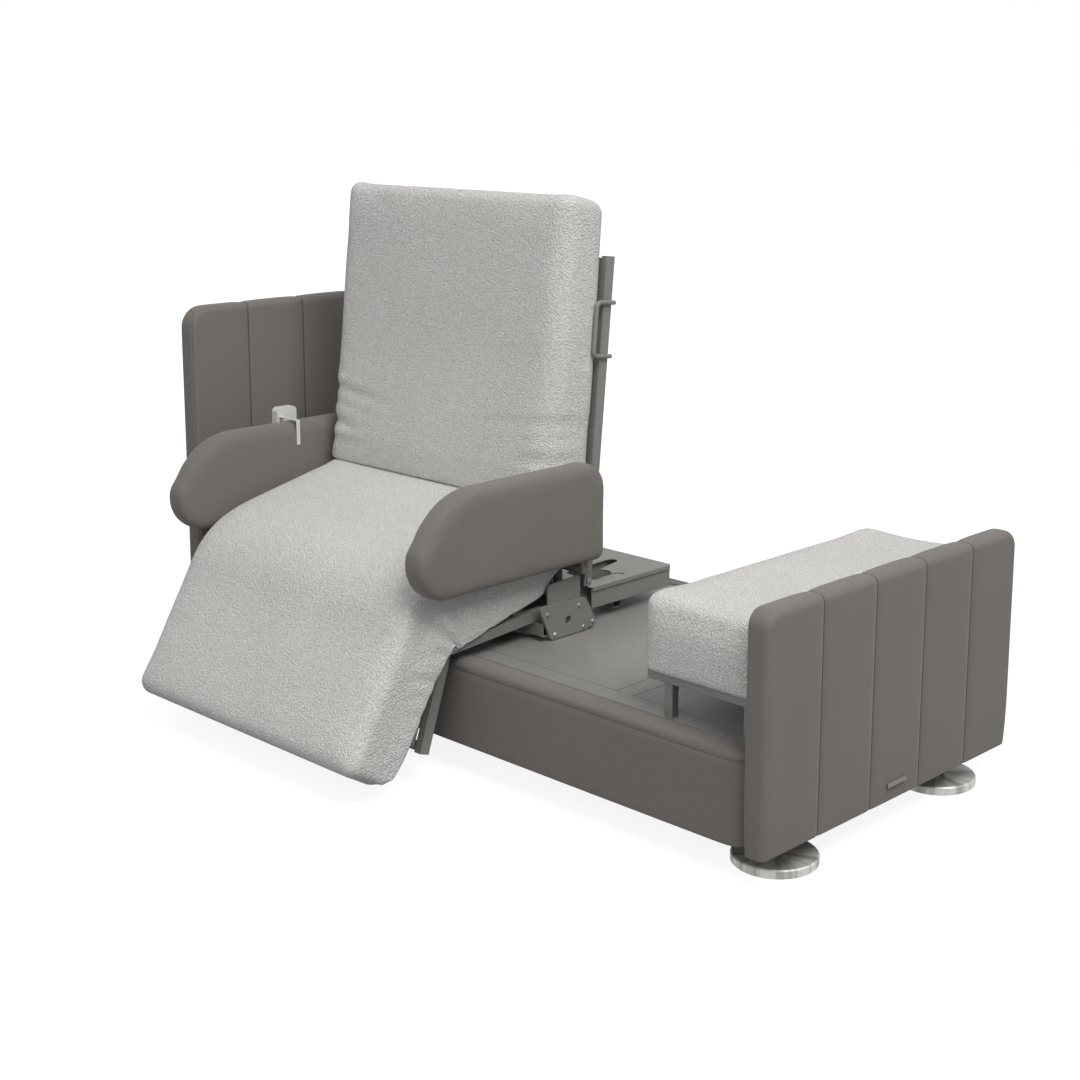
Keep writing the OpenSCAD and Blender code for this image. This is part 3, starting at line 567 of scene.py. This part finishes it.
def beside_knee(side):
    """Short pleats where the cover is squeezed in the bend. Each is (place, length, depth)."""
    edge = side * mattress_half
    folds = []
    for place, length, depth in pleats:
        start, end = over_the_knee(np.array([[edge, place, 0.004], [edge, place - 0.02, length]]))
        folds.append((start, end, pleat_half_width, depth))
    return folds


crease(seat_mattress, beside_knee(1) + beside_knee(-1))
refine(seat_mattress, 1)
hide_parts("seat_cushion", "leg_cushion")
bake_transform(seat_mattress)

# %% [markdown]
# ## Back mattress
#
# The back mattress stands on the seat and leans on its panel. Its lower end
# is cut to the slope of the seat. The cover is a little too long there, so it
# lies in soft folds near the lower corners.

# %% Stuff the back mattress
back_low, back_top = 0.205, 1.012
back_front, back_rear = -0.171, -0.0215
back_mattress = slab(
    "back_mattress",
    (-mattress_half - proud, back_front, back_low), (mattress_half + proud, back_rear, back_top),
    (lambda a, b: same(a.y, b.y, back_front) and same(a.x, b.x), 0.050),
    (lambda a, b: same(a.y, b.y, back_rear) and same(a.x, b.x), 0.036),
    (lambda a, b: same(a.z, b.z, back_top), 0.034),
    (lambda a, b: max(a.z, b.z) < 0.3, 0.010))
swell(back_mattress, lambda p: (p[:, 1] > back_rear - 0.004) | (p[:, 2] < back_low + 0.006), 0.007)
points = points_of(back_mattress)
depth = (points[:, 1] - back_front) / (back_rear - back_front)
rise = math.sin(seat_slope + back_lean) * (back_rear - back_front)
points[:, 2] += depth * rise * np.clip(1 - (points[:, 2] - back_low) / 0.5, 0, 1)
points[:, 1] -= 0.014 * (1 - depth) * (1 - ramp(points[:, 2], 0.25, 0.60))
points[:, 2] -= 0.020 * depth**2 * ramp(points[:, 2], 0.88, 1.0)
above_pads = ramp(points[:, 2], 0.40, 0.47)
limit = between_pads + 0.012 * above_pads
widening = 1 + 0.010 * above_pads * (1 - ramp(points[:, 2], 0.60, 1.0))
points[:, 0] = np.clip(points[:, 0] * widening, -limit, limit)

# the rod loops press into the sides
loop_height = ramp(points[:, 2], 0.565, 0.590) * (1 - ramp(points[:, 2], 0.742, 0.767))
beside_loop = loop_height * ramp(points[:, 1], -0.085, -0.060)
pressed = np.clip(points[:, 0], -0.4492, 0.4492)
points[:, 0] += (pressed - points[:, 0]) * beside_loop
put_points(back_mattress, points)
refine(back_mattress, 1)


# %% Folds at its lower corners
corner_folds = (
    (0.420, 0.030, 0.34, 0.0065), (0.385, 0.012, 0.20, 0.0040),
    (0.325, 0.022, 0.22, 0.0055), (0.268, 0.010, 0.26, 0.0060))


def low_folds(piece, side, strength):
    """Folds that start at a side edge and die out across the front: (height, fall, reach, depth)."""
    points, out = points_of(piece), normals_of(piece)
    in_from_side = mattress_half - side * points[:, 0]
    front_or_side = 1 - ramp(points[:, 1], back_front + 0.06, back_front + 0.13)
    for height, fall, reach, deep in corner_folds:
        line = height - fall * np.clip(in_from_side / reach, 0, 1)
        away = (points[:, 2] - line) / 0.013
        taper = ramp(reach - in_from_side, 0, reach) * front_or_side
        valley = np.exp(-away**2) - 0.5 * np.exp(-((np.abs(away) - 2.0) ** 2))
        points -= out * (strength * deep * taper * valley)[:, None]
    put_points(piece, points)


low_folds(back_mattress, -1, 1.0)
low_folds(back_mattress, 1, 0.4)
refine(back_mattress, 1)
points = points_of(back_mattress)
pad_height = points[:, 2] < 0.42
points[pad_height, 0] = np.clip(points[pad_height, 0], -0.4542, 0.4542)
put_points(back_mattress, points)
back_mattress.rotation_euler = (-back_lean, 0, 0)
back_mattress.location = hip
settle(back_mattress)
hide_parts("back_cushion")
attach(back_mattress, "back")
print("back mattress", len(back_mattress.data.polygons), "faces")

# %% [markdown]
# ## Foot mattress
#
# A short mattress fills the bed between the chair and the footboard. It lies
# on a low platform, so only its underside is flat.

# %% Stuff the foot mattress
low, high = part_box("foot_mattress")
foot_low = low + Vector((-0.003, -0.003, 0.0005))
foot_high = high + Vector((-0.007, 0.003, 0.005))
foot_mattress = slab(
    "foot_end_mattress", foot_low, foot_high,
    (lambda a, b: same(a.x, b.x) and same(a.y, b.y), 0.040),
    (lambda a, b: same(a.z, b.z, foot_high.z), 0.028),
    (lambda a, b: same(a.z, b.z, foot_low.z), 0.012))
swell(foot_mattress, lambda p: p[:, 2] < foot_low.z + 0.004, 0.005)
refine(foot_mattress, 2)
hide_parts("foot_mattress")
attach(foot_mattress, "base")
print("foot mattress", len(foot_mattress.data.polygons), "faces")

# %% [markdown]
# ## Armrest pads
#
# An armrest is a foam pad in woven cover, deep enough to lean on. Its outline
# is the frame's own, so the pad starts as a copy of that part. The loose
# triangles are merged, the rim is rounded, and a voxel remesh gives Cloth an
# even net to swell.

# %% Stuff an armrest pad
def armrest(name, body):
    low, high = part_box(name)
    alone(nodes[name])
    bpy.ops.object.duplicate()
    piece = bpy.context.object
    piece.name = piece.data.name = "padded_" + name
    piece.parent = None
    for key in list(piece.keys()):
        del piece[key]
    alone(piece)
    bpy.ops.object.mode_set(mode="EDIT")
    bpy.ops.mesh.select_all(action="SELECT")
    bpy.ops.mesh.remove_doubles(threshold=0.0001)
    bpy.ops.mesh.dissolve_limited(angle_limit=math.radians(1))
    bpy.ops.object.mode_set(mode="OBJECT")
    rim = 0.022
    round_edges(
        piece,
        lambda a, b: same(a.x, b.x, low.x, near=1e-4) or same(a.x, b.x, high.x, near=1e-4),
        rim, 6)
    alone(piece)
    bpy.ops.object.modifier_add(type="REMESH")
    remesh = piece.modifiers[-1]
    remesh.mode = "VOXEL"
    remesh.voxel_size = 0.008
    bpy.ops.object.modifier_apply(modifier=remesh.name)
    points, out = points_of(piece), normals_of(piece)
    put_points(piece, points - out * 0.003)
    travel = swell(piece, lambda p: p[:, 2] < low.z - 1, 0.004, pressure=2.0)
    alone(piece)
    bpy.ops.object.modifier_add(type="SMOOTH")
    ease = piece.modifiers[-1]
    ease.factor, ease.iterations = 0.5, 6
    bpy.ops.object.modifier_apply(modifier=ease.name)
    refine(piece, 1)
    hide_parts(name)
    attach(piece, body)
    print(piece.name, len(piece.data.polygons), "faces, swelled", round(travel * 1000, 1), "mm")
    return piece


near_pad = armrest("near_armrest_pad", "near_armrest")
far_pad = armrest("far_armrest_pad", "far_armrest")

# %% [markdown]
# ## Finishes
#
# Each effect that more than one finish needs is a node group with its own
# inputs and outputs. The groups only give heights, masks and shades. The
# shader itself stays in each material.

# %% Helpers for groups and materials
def new_group(name, inputs, outputs):
    """inputs are (name, kind, value), outputs are (name, kind). Returns the tree and its two end nodes."""
    tree = bpy.data.node_groups.new(name, "ShaderNodeTree")
    for label, kind, value in inputs:
        socket = tree.interface.new_socket(name=label, in_out="INPUT", socket_type="NodeSocket" + kind)
        if value is not None:
            socket.default_value = value
    for label, kind in outputs:
        tree.interface.new_socket(name=label, in_out="OUTPUT", socket_type="NodeSocket" + kind)
    return tree, tree.nodes.new("NodeGroupInput"), tree.nodes.new("NodeGroupOutput")


def use_group(tree, group, **values):
    made = add_node(tree, "Group", node_tree=group)
    for label, value in values.items():
        feed(tree, made.inputs[label.replace("_", " ")], value)
    return made


def noise(tree, vector, scale, detail=3.0, roughness=0.5):
    made = add_node(tree, "TexNoise")
    feed(tree, made.inputs["Vector"], vector)
    feed(tree, made.inputs["Scale"], scale)
    made.inputs["Detail"].default_value = detail
    made.inputs["Roughness"].default_value = roughness
    return made.outputs["Fac"]


def fit_range(tree, value, low, high, to_low, to_high):
    made = add_node(tree, "MapRange")
    for socket, item in zip(made.inputs, (value, low, high, to_low, to_high)):
        feed(tree, socket, item)
    return made.outputs[0]


def blend_colours(tree, share, dark, light):
    made = add_node(tree, "Mix", data_type="RGBA")
    feed(tree, made.inputs["Factor"], share)
    feed(tree, made.inputs[6], dark)
    feed(tree, made.inputs[7], light)
    return made.outputs[2]


def new_finish(name):
    finish = bpy.data.materials.new(name)
    finish.use_nodes = True
    tree = finish.node_tree
    return finish, tree, tree.nodes["Principled BSDF"], add_node(tree, "TexCoord")


def bump(tree, height, strength, distance, normal=None):
    made = add_node(tree, "Bump")
    made.inputs["Strength"].default_value = strength
    made.inputs["Distance"].default_value = distance
    feed(tree, made.inputs["Height"], height)
    if normal is not None:
        feed(tree, made.inputs["Normal"], normal)
    return made.outputs[0]


def colour(red, green, blue):
    """A screen colour of 0 to 255 as the linear colour that the shader wants."""
    def linear(v):
        v /= 255
        return v / 12.92 if v <= 0.04045 else ((v + 0.055) / 1.055) ** 2.4
    return (linear(red), linear(green), linear(blue), 1.0)


# %% [markdown]
# ### Nubbly knit
#
# The mattress cover is a terry knit with small soft curls, about four
# millimetres across. Rounded cells make the curls, and noise moves them out
# of line, so that no grid shows.

# %% Group: curls
curls, given, gives = new_group(
    "terry curls",
    [("Vector", "Vector", None), ("Curls per metre", "Float", 250.0)],
    [("Height", "Float"), ("Shade", "Float")])
wobble = add_node(curls, "TexNoise")
feed(curls, wobble.inputs["Vector"], given.outputs["Vector"])
feed(curls, wobble.inputs["Scale"], calc(curls, "MULTIPLY", given.outputs["Curls per metre"], 0.45))
stir = add_node(curls, "VectorMath", operation="MULTIPLY_ADD")
feed(curls, stir.inputs[0], wobble.outputs["Color"])
feed(curls, stir.inputs[1], (0.012, 0.012, 0.012))
feed(curls, stir.inputs[2], given.outputs["Vector"])
cells = add_node(curls, "TexVoronoi", feature="SMOOTH_F1")
feed(curls, cells.inputs["Vector"], stir.outputs[0])
feed(curls, cells.inputs["Scale"], given.outputs["Curls per metre"])
cells.inputs["Smoothness"].default_value = 0.6
curl_height = fit_range(curls, cells.outputs["Distance"], 0.1, 0.75, 1.0, 0.0)
fine = noise(curls, given.outputs["Vector"], 900.0, 2.0)
curls.links.new(calc(curls, "MULTIPLY_ADD", fine, 0.35, curl_height), gives.inputs["Height"])
curls.links.new(curl_height, gives.inputs["Shade"])

# %% Finish: mattress cover
mattress_knit, tree, skin, coords = new_finish("mattress_knit")
pile = use_group(tree, curls, Vector=coords.outputs["Object"])
patches = noise(tree, coords.outputs["Object"], 5.0, 4.0)
faded = calc(tree, "MULTIPLY", patches, 0.25)
shade = calc(tree, "MULTIPLY_ADD", pile.outputs["Shade"], 0.75, faded, clamp=True)
shadowed, lit = colour(186, 185, 182), colour(236, 235, 232)
feed(tree, skin.inputs["Base Color"], blend_colours(tree, shade, shadowed, lit))
feed(tree, skin.inputs["Roughness"], fit_range(tree, pile.outputs["Shade"], 0, 1, 1.0, 0.85))
skin.inputs["Specular IOR Level"].default_value = 0.2
skin.inputs["Sheen Weight"].default_value = 0.15
skin.inputs["Sheen Roughness"].default_value = 0.6
feed(tree, skin.inputs["Normal"], bump(tree, pile.outputs["Height"], 0.95, 0.0032))

# %% [markdown]
# ### Plain weave
#
# The boards, rails and armrests wear a matt woven cover in warm grey. Two sets
# of threads cross on each face. The weave is laid on from all three sides and
# mixed by the direction that the surface faces, so it needs no unwrapping.

# %% Group: weave
weave, given, gives = new_group(
    "plain weave",
    [("Vector", "Vector", None), ("Normal", "Vector", None), ("Threads per metre", "Float", 520.0)],
    [("Height", "Float"), ("Shade", "Float")])
scaled = add_node(weave, "VectorMath", operation="SCALE")
feed(weave, scaled.inputs[0], given.outputs["Vector"])
feed(weave, scaled.inputs["Scale"], calc(weave, "MULTIPLY", given.outputs["Threads per metre"], math.pi))
split = add_node(weave, "SeparateXYZ")
feed(weave, split.inputs[0], scaled.outputs[0])
waves = [calc(weave, "SINE", split.outputs[i]) for i in range(3)]
ways = add_node(weave, "SeparateXYZ")
feed(weave, ways.inputs[0], given.outputs["Normal"])
squares = [calc(weave, "POWER", calc(weave, "ABSOLUTE", ways.outputs[i]), 4.0) for i in range(3)]
first_two = calc(weave, "ADD", squares[0], squares[1])
total = calc(weave, "ADD", first_two, calc(weave, "ADD", squares[2], 0.0001))
grids = [calc(weave, "MULTIPLY", waves[(i + 1) % 3], waves[(i + 2) % 3]) for i in range(3)]
layers = [calc(weave, "MULTIPLY", grids[i], squares[i]) for i in range(3)]
all_layers = calc(weave, "ADD", calc(weave, "ADD", layers[0], layers[1]), layers[2])
crossing = calc(weave, "DIVIDE", all_layers, total)
slub = noise(weave, given.outputs["Vector"], 420.0, 3.0, 0.7)
slub_height = calc(weave, "MULTIPLY", slub, 0.8)
weave.links.new(calc(weave, "MULTIPLY_ADD", crossing, 0.35, slub_height), gives.inputs["Height"])
weave.links.new(calc(weave, "MULTIPLY_ADD", crossing, 0.18, slub, clamp=True), gives.inputs["Shade"])

# %% [markdown]
# ### Boxing seam
#
# At the ends of the headboard the cover is closed with a narrow strip that has
# a rounded head. The seam that joins it runs up beside the edge and arches
# over on the corner. It is too fine to model, so it is a mask for the bump,
# and its line is painted a little darker as painted shade. Both boards also
# get painted shade, a darker line, in the seams between their channels.

# %% Group: boxing seam
boxing, given, gives = new_group(
    "boxing seam",
    [("Vector", "Vector", None), ("Normal", "Vector", None), ("Middle", "Float", 0.0),
     ("Half band", "Float", 0.026), ("Spring", "Float", 1.0), ("Arch", "Float", 0.05)],
    [("Line", "Float"), ("Ridge", "Float")])
spot = add_node(boxing, "SeparateXYZ")
feed(boxing, spot.inputs[0], given.outputs["Vector"])
side = add_node(boxing, "SeparateXYZ")
feed(boxing, side.inputs[0], given.outputs["Normal"])
half_band = given.outputs["Half band"]
from_middle = calc(boxing, "SUBTRACT", spot.outputs["X"], given.outputs["Middle"])
from_spring = calc(boxing, "SUBTRACT", spot.outputs["Z"], given.outputs["Spring"])
across = calc(boxing, "DIVIDE", from_middle, half_band)
above = calc(boxing, "DIVIDE", calc(boxing, "MAXIMUM", from_spring, 0.0), given.outputs["Arch"])
across_squared = calc(boxing, "MULTIPLY", across, across)
above_squared = calc(boxing, "MULTIPLY", above, above)
radius = calc(boxing, "SQRT", calc(boxing, "ADD", across_squared, above_squared))
off_line = calc(boxing, "MULTIPLY", calc(boxing, "SUBTRACT", radius, 1.0), half_band)
on_side = fit_range(boxing, calc(boxing, "ABSOLUTE", side.outputs["Y"]), 0.25, 0.40, 0.0, 1.0)
distance = calc(boxing, "ABSOLUTE", off_line)
line = fit_range(boxing, distance, 0.0006, 0.0022, 1.0, 0.0)
boxing.links.new(calc(boxing, "MULTIPLY", line, on_side), gives.inputs["Line"])
from_ridge = calc(boxing, "ABSOLUTE", calc(boxing, "SUBTRACT", distance, 0.005))
beside = fit_range(boxing, from_ridge, 0.0, 0.004, 1.0, 0.0)
boxing.links.new(calc(boxing, "MULTIPLY", beside, on_side), gives.inputs["Ridge"])


# %% Finish: woven cover
# colour of the painted shade in the seam grooves
painted_seam_shade = colour(58, 55, 52)


def woven_cover(name, board=None, seam=None):
    """board is the node of a quilted board, seam is (middle, spring, arch) of its boxing strip."""
    finish, tree, skin, coords = new_finish(name)
    cloth = use_group(tree, weave, Vector=coords.outputs["Object"], Normal=coords.outputs["Normal"])
    patches = noise(tree, coords.outputs["Object"], 3.5, 4.0)
    faded = calc(tree, "MULTIPLY", patches, 0.3)
    shade = calc(tree, "MULTIPLY_ADD", cloth.outputs["Shade"], 0.7, faded, clamp=True)
    dark, light = colour(94, 90, 86), colour(126, 120, 115)
    tone = blend_colours(tree, shade, dark, light)
    height = cloth.outputs["Height"]
    normal = None
    if board:
        low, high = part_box(board)
        spot = add_node(tree, "SeparateXYZ")
        feed(tree, spot.inputs[0], coords.outputs["Object"])
        off = calc(tree, "SUBTRACT", spot.outputs["Y"], (low.y + high.y) / 2)
        share = calc(tree, "FRACT", calc(tree, "DIVIDE", off, channel))
        from_seam = calc(tree, "ABSOLUTE", calc(tree, "SUBTRACT", share, 0.5))
        # painted shade: each seam groove between the channels is drawn as a darker line
        groove_shade = fit_range(tree, calc(tree, "MULTIPLY", from_seam, channel), 0.0012, 0.0034, 1.0, 0.0)
        inside = calc(tree, "LESS_THAN", calc(tree, "ABSOLUTE", off), 0.45)
        seam_shade = calc(tree, "MULTIPLY", calc(tree, "MULTIPLY", groove_shade, inside), 0.65)
        tone = blend_colours(tree, seam_shade, tone, painted_seam_shade)
    if seam:
        middle, spring, arch = seam
        strip = use_group(
            tree, boxing, Vector=coords.outputs["Object"], Normal=coords.outputs["Normal"],
            Middle=middle, Spring=spring, Arch=arch)
        # painted shade: the boxing seam line is painted a little darker
        tone = blend_colours(tree, calc(tree, "MULTIPLY", strip.outputs["Line"], 0.25), tone, painted_seam_shade)
        roll = calc(tree, "SUBTRACT", strip.outputs["Ridge"], strip.outputs["Line"])
        normal = bump(tree, roll, 0.5, 0.0010)
    feed(tree, skin.inputs["Base Color"], tone)
    feed(tree, skin.inputs["Roughness"], fit_range(tree, cloth.outputs["Shade"], 0, 1, 0.98, 0.86))
    skin.inputs["Specular IOR Level"].default_value = 0.25
    skin.inputs["Sheen Weight"].default_value = 0.18
    skin.inputs["Sheen Roughness"].default_value = 0.5
    feed(tree, skin.inputs["Normal"], bump(tree, height, 0.35, 0.0007, normal))
    return finish


def board_seam(name, corner):
    low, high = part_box(name)
    return ((low.x + high.x) / 2, high.z - corner, corner * 0.72)


rail_cloth = woven_cover("rail_cloth")
headboard_cloth = woven_cover("headboard_cloth", "headboard", board_seam("headboard", headboard_corner))
footboard_cloth = woven_cover("footboard_cloth", "footboard")

# %% [markdown]
# ### Paint on steel
#
# Powder coat melts into a skin with a faint orange-peel surface. It gathers
# fine dust on top and loses its edge where hands and tools touch it. The edge
# mask compares the true surface with a rounded one, which finds every corner
# of a tube without any unwrapping.

# %% Group: worn edges
edges, given, gives = new_group(
    "worn edges", [("Vector", "Vector", None), ("Reach", "Float", 0.0025)],
    [("Mask", "Float"), ("Normal", "Vector")])
rounded = add_node(edges, "Bevel", samples=4)
feed(edges, rounded.inputs["Radius"], given.outputs["Reach"])
facet = add_node(edges, "NewGeometry")
match = add_node(edges, "VectorMath", operation="DOT_PRODUCT")
edges.links.new(rounded.outputs[0], match.inputs[0])
edges.links.new(facet.outputs["Normal"], match.inputs[1])
sharp = fit_range(edges, match.outputs["Value"], 0.97, 0.80, 0.0, 1.0)
broken = fit_range(edges, noise(edges, given.outputs["Vector"], 60.0, 4.0, 0.7), 0.40, 0.62, 0.0, 1.0)
edges.links.new(calc(edges, "MULTIPLY", sharp, broken), gives.inputs["Mask"])
edges.links.new(rounded.outputs[0], gives.inputs["Normal"])

# %% Group: powder coat
coat, given, gives = new_group(
    "powder coat", [("Vector", "Vector", None), ("Normal", "Vector", None)],
    [("Height", "Float"), ("Shade", "Float"), ("Dust", "Float")])
peel = noise(coat, given.outputs["Vector"], 330.0, 2.0)
coat.links.new(peel, gives.inputs["Height"])
coat.links.new(noise(coat, given.outputs["Vector"], 9.0, 5.0, 0.6), gives.inputs["Shade"])
facing = add_node(coat, "SeparateXYZ")
feed(coat, facing.inputs[0], given.outputs["Normal"])
upward = fit_range(coat, facing.outputs["Z"], 0.6, 1.0, 0.0, 1.0)
specks = fit_range(coat, noise(coat, given.outputs["Vector"], 24.0, 6.0, 0.75), 0.45, 0.75, 0.0, 1.0)
coat.links.new(calc(coat, "MULTIPLY", upward, specks), gives.inputs["Dust"])


# %% Finish: painted steel
def painted(name, dark, light, worn, roughness, reach=0.0025):
    finish, tree, skin, coords = new_finish(name)
    paint = use_group(tree, coat, Vector=coords.outputs["Object"], Normal=coords.outputs["Normal"])
    rim = use_group(tree, edges, Vector=coords.outputs["Object"], Reach=reach)
    tone = blend_colours(tree, paint.outputs["Shade"], dark, light)
    dusty = calc(tree, "MULTIPLY", paint.outputs["Dust"], 0.10)
    tone = blend_colours(tree, dusty, tone, colour(190, 188, 182))
    tone = blend_colours(tree, calc(tree, "MULTIPLY", rim.outputs["Mask"], 0.45), tone, worn)
    feed(tree, skin.inputs["Base Color"], tone)
    rough = calc(tree, "MULTIPLY_ADD", paint.outputs["Shade"], 0.12, roughness)
    feed(tree, skin.inputs["Roughness"], calc(tree, "MULTIPLY_ADD", rim.outputs["Mask"], -0.12, rough))
    peel = bump(tree, paint.outputs["Height"], 0.10, 0.0004, rim.outputs["Normal"])
    feed(tree, skin.inputs["Normal"], peel)
    return finish


frame_paint = painted(
    "frame_paint", colour(112, 112, 108), colour(124, 124, 120), colour(160, 160, 157), 0.42)
deck_paint = painted(
    "deck_paint", colour(121, 120, 116), colour(133, 132, 128), colour(168, 168, 164), 0.46, 0.0015)
dark_paint = painted(
    "dark_paint", colour(52, 52, 54), colour(64, 64, 66), colour(110, 110, 110), 0.50)

# %% [markdown]
# ### Turned and brushed steel
#
# The floor discs are faced on a lathe, so the tool marks are rings. The light
# that breaks into wedges from the middle is painted reflection: lighter and
# darker wedges in the colour. The marks and the wedges are drawn round each
# disc's own centre. All four share one material, because their places mirror
# each other about the middle of the bed.

# %% Group: lathe marks and painted reflections
lathe, given, gives = new_group(
    "lathe marks and painted reflections", [("Vector", "Vector", None)],
    [("Height", "Float"), ("Shade", "Float"), ("Roughness", "Float")])
spot = add_node(lathe, "SeparateXYZ")
feed(lathe, spot.inputs[0], given.outputs["Vector"])
angle = calc(lathe, "ARCTAN2", spot.outputs["Y"], spot.outputs["X"])
x_squared, y_squared = (calc(lathe, "MULTIPLY", spot.outputs[axis], spot.outputs[axis]) for axis in "XY")
reach = calc(lathe, "SQRT", calc(lathe, "ADD", x_squared, y_squared))
rings_per_metre = 1400.0
ring_place = add_node(lathe, "CombineXYZ")
feed(lathe, ring_place.inputs["X"], calc(lathe, "MULTIPLY", reach, rings_per_metre))
feed(lathe, ring_place.inputs["Y"], calc(lathe, "MULTIPLY", angle, 1.5))
feed(lathe, ring_place.inputs["Z"], calc(lathe, "MULTIPLY", spot.outputs["Z"], rings_per_metre))
rings = noise(lathe, ring_place.outputs[0], 1.0, 2.0)
# painted reflections: wedges round the centre, lighter and darker in the colour
reflection_place = add_node(lathe, "CombineXYZ")
feed(lathe, reflection_place.inputs["X"], calc(lathe, "COSINE", angle))
feed(lathe, reflection_place.inputs["Y"], calc(lathe, "SINE", angle))
painted_reflection_wedges = fit_range(lathe, noise(lathe, reflection_place.outputs[0], 3.4, 2.0, 0.6), 0.40, 0.60, 0.0, 1.0)
lathe.links.new(rings, gives.inputs["Height"])
# Shade is mostly the painted reflection wedges and a little of the ring marks
painted_reflection_shade = calc(lathe, "MULTIPLY", painted_reflection_wedges, 0.75)
lathe.links.new(calc(lathe, "MULTIPLY_ADD", rings, 0.25, painted_reflection_shade, clamp=True), gives.inputs["Shade"])
lathe.links.new(calc(lathe, "MULTIPLY_ADD", rings, 0.20, 0.42), gives.inputs["Roughness"])


# %% Finish: steels
def steel(name, dark, light, metal, centre=None):
    """centre is (x, y, middle y) of a piece that repeats in all four corners."""
    finish, tree, skin, coords = new_finish(name)
    vector = coords.outputs["Object"]
    if centre:
        spot = add_node(tree, "SeparateXYZ")
        feed(tree, spot.inputs[0], vector)
        local = add_node(tree, "CombineXYZ")
        centre_x, centre_y, middle_y = centre
        off_x = calc(tree, "ABSOLUTE", spot.outputs["X"])
        off_y = calc(tree, "ABSOLUTE", calc(tree, "SUBTRACT", spot.outputs["Y"], middle_y))
        feed(tree, local.inputs["X"], calc(tree, "SUBTRACT", off_x, centre_x))
        feed(tree, local.inputs["Y"], calc(tree, "SUBTRACT", off_y, centre_y))
        feed(tree, local.inputs["Z"], spot.outputs["Z"])
        vector = local.outputs[0]
    marks = use_group(tree, lathe, Vector=vector)
    # dark and light are mixed by the ring marks and the painted reflection wedges
    feed(tree, skin.inputs["Base Color"], blend_colours(tree, marks.outputs["Shade"], dark, light))
    feed(tree, skin.inputs["Roughness"], marks.outputs["Roughness"])
    skin.inputs["Metallic"].default_value = metal
    feed(tree, skin.inputs["Normal"], bump(tree, marks.outputs["Height"], 0.12, 0.0003))
    return finish


disc_low, disc_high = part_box("floor_discs")
disc_radius = 0.100
disc_centre = (
    (disc_high.x - disc_low.x) / 2 - disc_radius,
    (disc_high.y - disc_low.y) / 2 - disc_radius,
    (disc_high.y + disc_low.y) / 2)
# on the discs the painted reflection wedges run from this grey to near white
disc_steel = steel("disc_steel", colour(150, 150, 144), colour(214, 214, 208), 0.55, disc_centre)
bright_steel = steel("bright_steel", colour(150, 150, 150), colour(190, 190, 190), 0.85)
plate_steel = steel("plate_steel", colour(112, 111, 108), colour(128, 127, 124), 0.50)

# %% [markdown]
# ### Moulded plastic
#
# Housings and the handset come out of moulds with a fine spark texture. The
# keys are soft rubber.

# %% Group: mould grain
grain, given, gives = new_group(
    "mould grain", [("Vector", "Vector", None)], [("Height", "Float"), ("Shade", "Float")])
grain.links.new(noise(grain, given.outputs["Vector"], 750.0, 2.0), gives.inputs["Height"])
grain.links.new(noise(grain, given.outputs["Vector"], 14.0, 5.0, 0.65), gives.inputs["Shade"])


# %% Finish: plastics
def plastic(name, dark, light, roughness):
    finish, tree, skin, coords = new_finish(name)
    mould = use_group(tree, grain, Vector=coords.outputs["Object"])
    rim = use_group(tree, edges, Vector=coords.outputs["Object"], Reach=0.002)
    tone = blend_colours(tree, mould.outputs["Shade"], dark, light)
    feed(tree, skin.inputs["Base Color"], tone)
    rough = calc(tree, "MULTIPLY_ADD", mould.outputs["Shade"], 0.15, roughness)
    feed(tree, skin.inputs["Roughness"], rough)
    spark = bump(tree, mould.outputs["Height"], 0.12, 0.0003, rim.outputs["Normal"])
    feed(tree, skin.inputs["Normal"], spark)
    return finish


dark_plastic = plastic("dark_plastic", colour(48, 48, 50), colour(62, 62, 64), 0.50)
handset_plastic = plastic("handset_plastic", colour(196, 196, 193), colour(212, 212, 209), 0.38)
key_rubber = plastic("key_rubber", colour(110, 111, 113), colour(128, 129, 131), 0.55)
print(len(bpy.data.node_groups), "shared effects,", len(bpy.data.materials), "finishes")

# %% [markdown]
# ## Put the finishes on
#
# The record names a material slot for every frame part, so one table is
# enough for all of them.

# %% Dress the frame and the new pieces
by_slot = {
    "frame_paint": frame_paint, "deck_paint": deck_paint, "dark_paint": dark_paint,
    "brushed_disc": disc_steel, "bright_steel": bright_steel, "dark_plastic": dark_plastic,
    "handset_plastic": handset_plastic, "key_plastic": key_rubber,
    "upholstery": rail_cloth, "mattress_cover": mattress_knit,
}


def dress(piece, finish):
    if not piece.material_slots:
        piece.data.materials.append(finish)
    for place in piece.material_slots:
        place.material = finish


for part in frame["record"]["subparts"]:
    dress(nodes[part["node"]], by_slot[part["material_slot"]])
for piece in (seat_mattress, back_mattress, foot_mattress):
    dress(piece, mattress_knit)
for piece in (near_rail, far_rail, near_pad, far_pad):
    dress(piece, rail_cloth)
dress(headboard, headboard_cloth)
dress(footboard, footboard_cloth)
dress(nodes["badge_plate"], plate_steel)
print("dressed", len(nodes), "frame parts and the new pieces")

# %% [markdown]
# ## The size after dressing
#
# Covers may stand a little proud of the measured solids, but not more. The
# script prints how far the pieces reach past the frame's box, in millimetres.

# %% How far the pieces reach past the frame
new_low, new_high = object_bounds()
grown_low = [round((a - b) * 1000, 1) for a, b in zip(cad_low, new_low)]
grown_high = [round((b - a) * 1000, 1) for a, b in zip(cad_high, new_high)]
print("grew by", grown_low, grown_high, "mm")
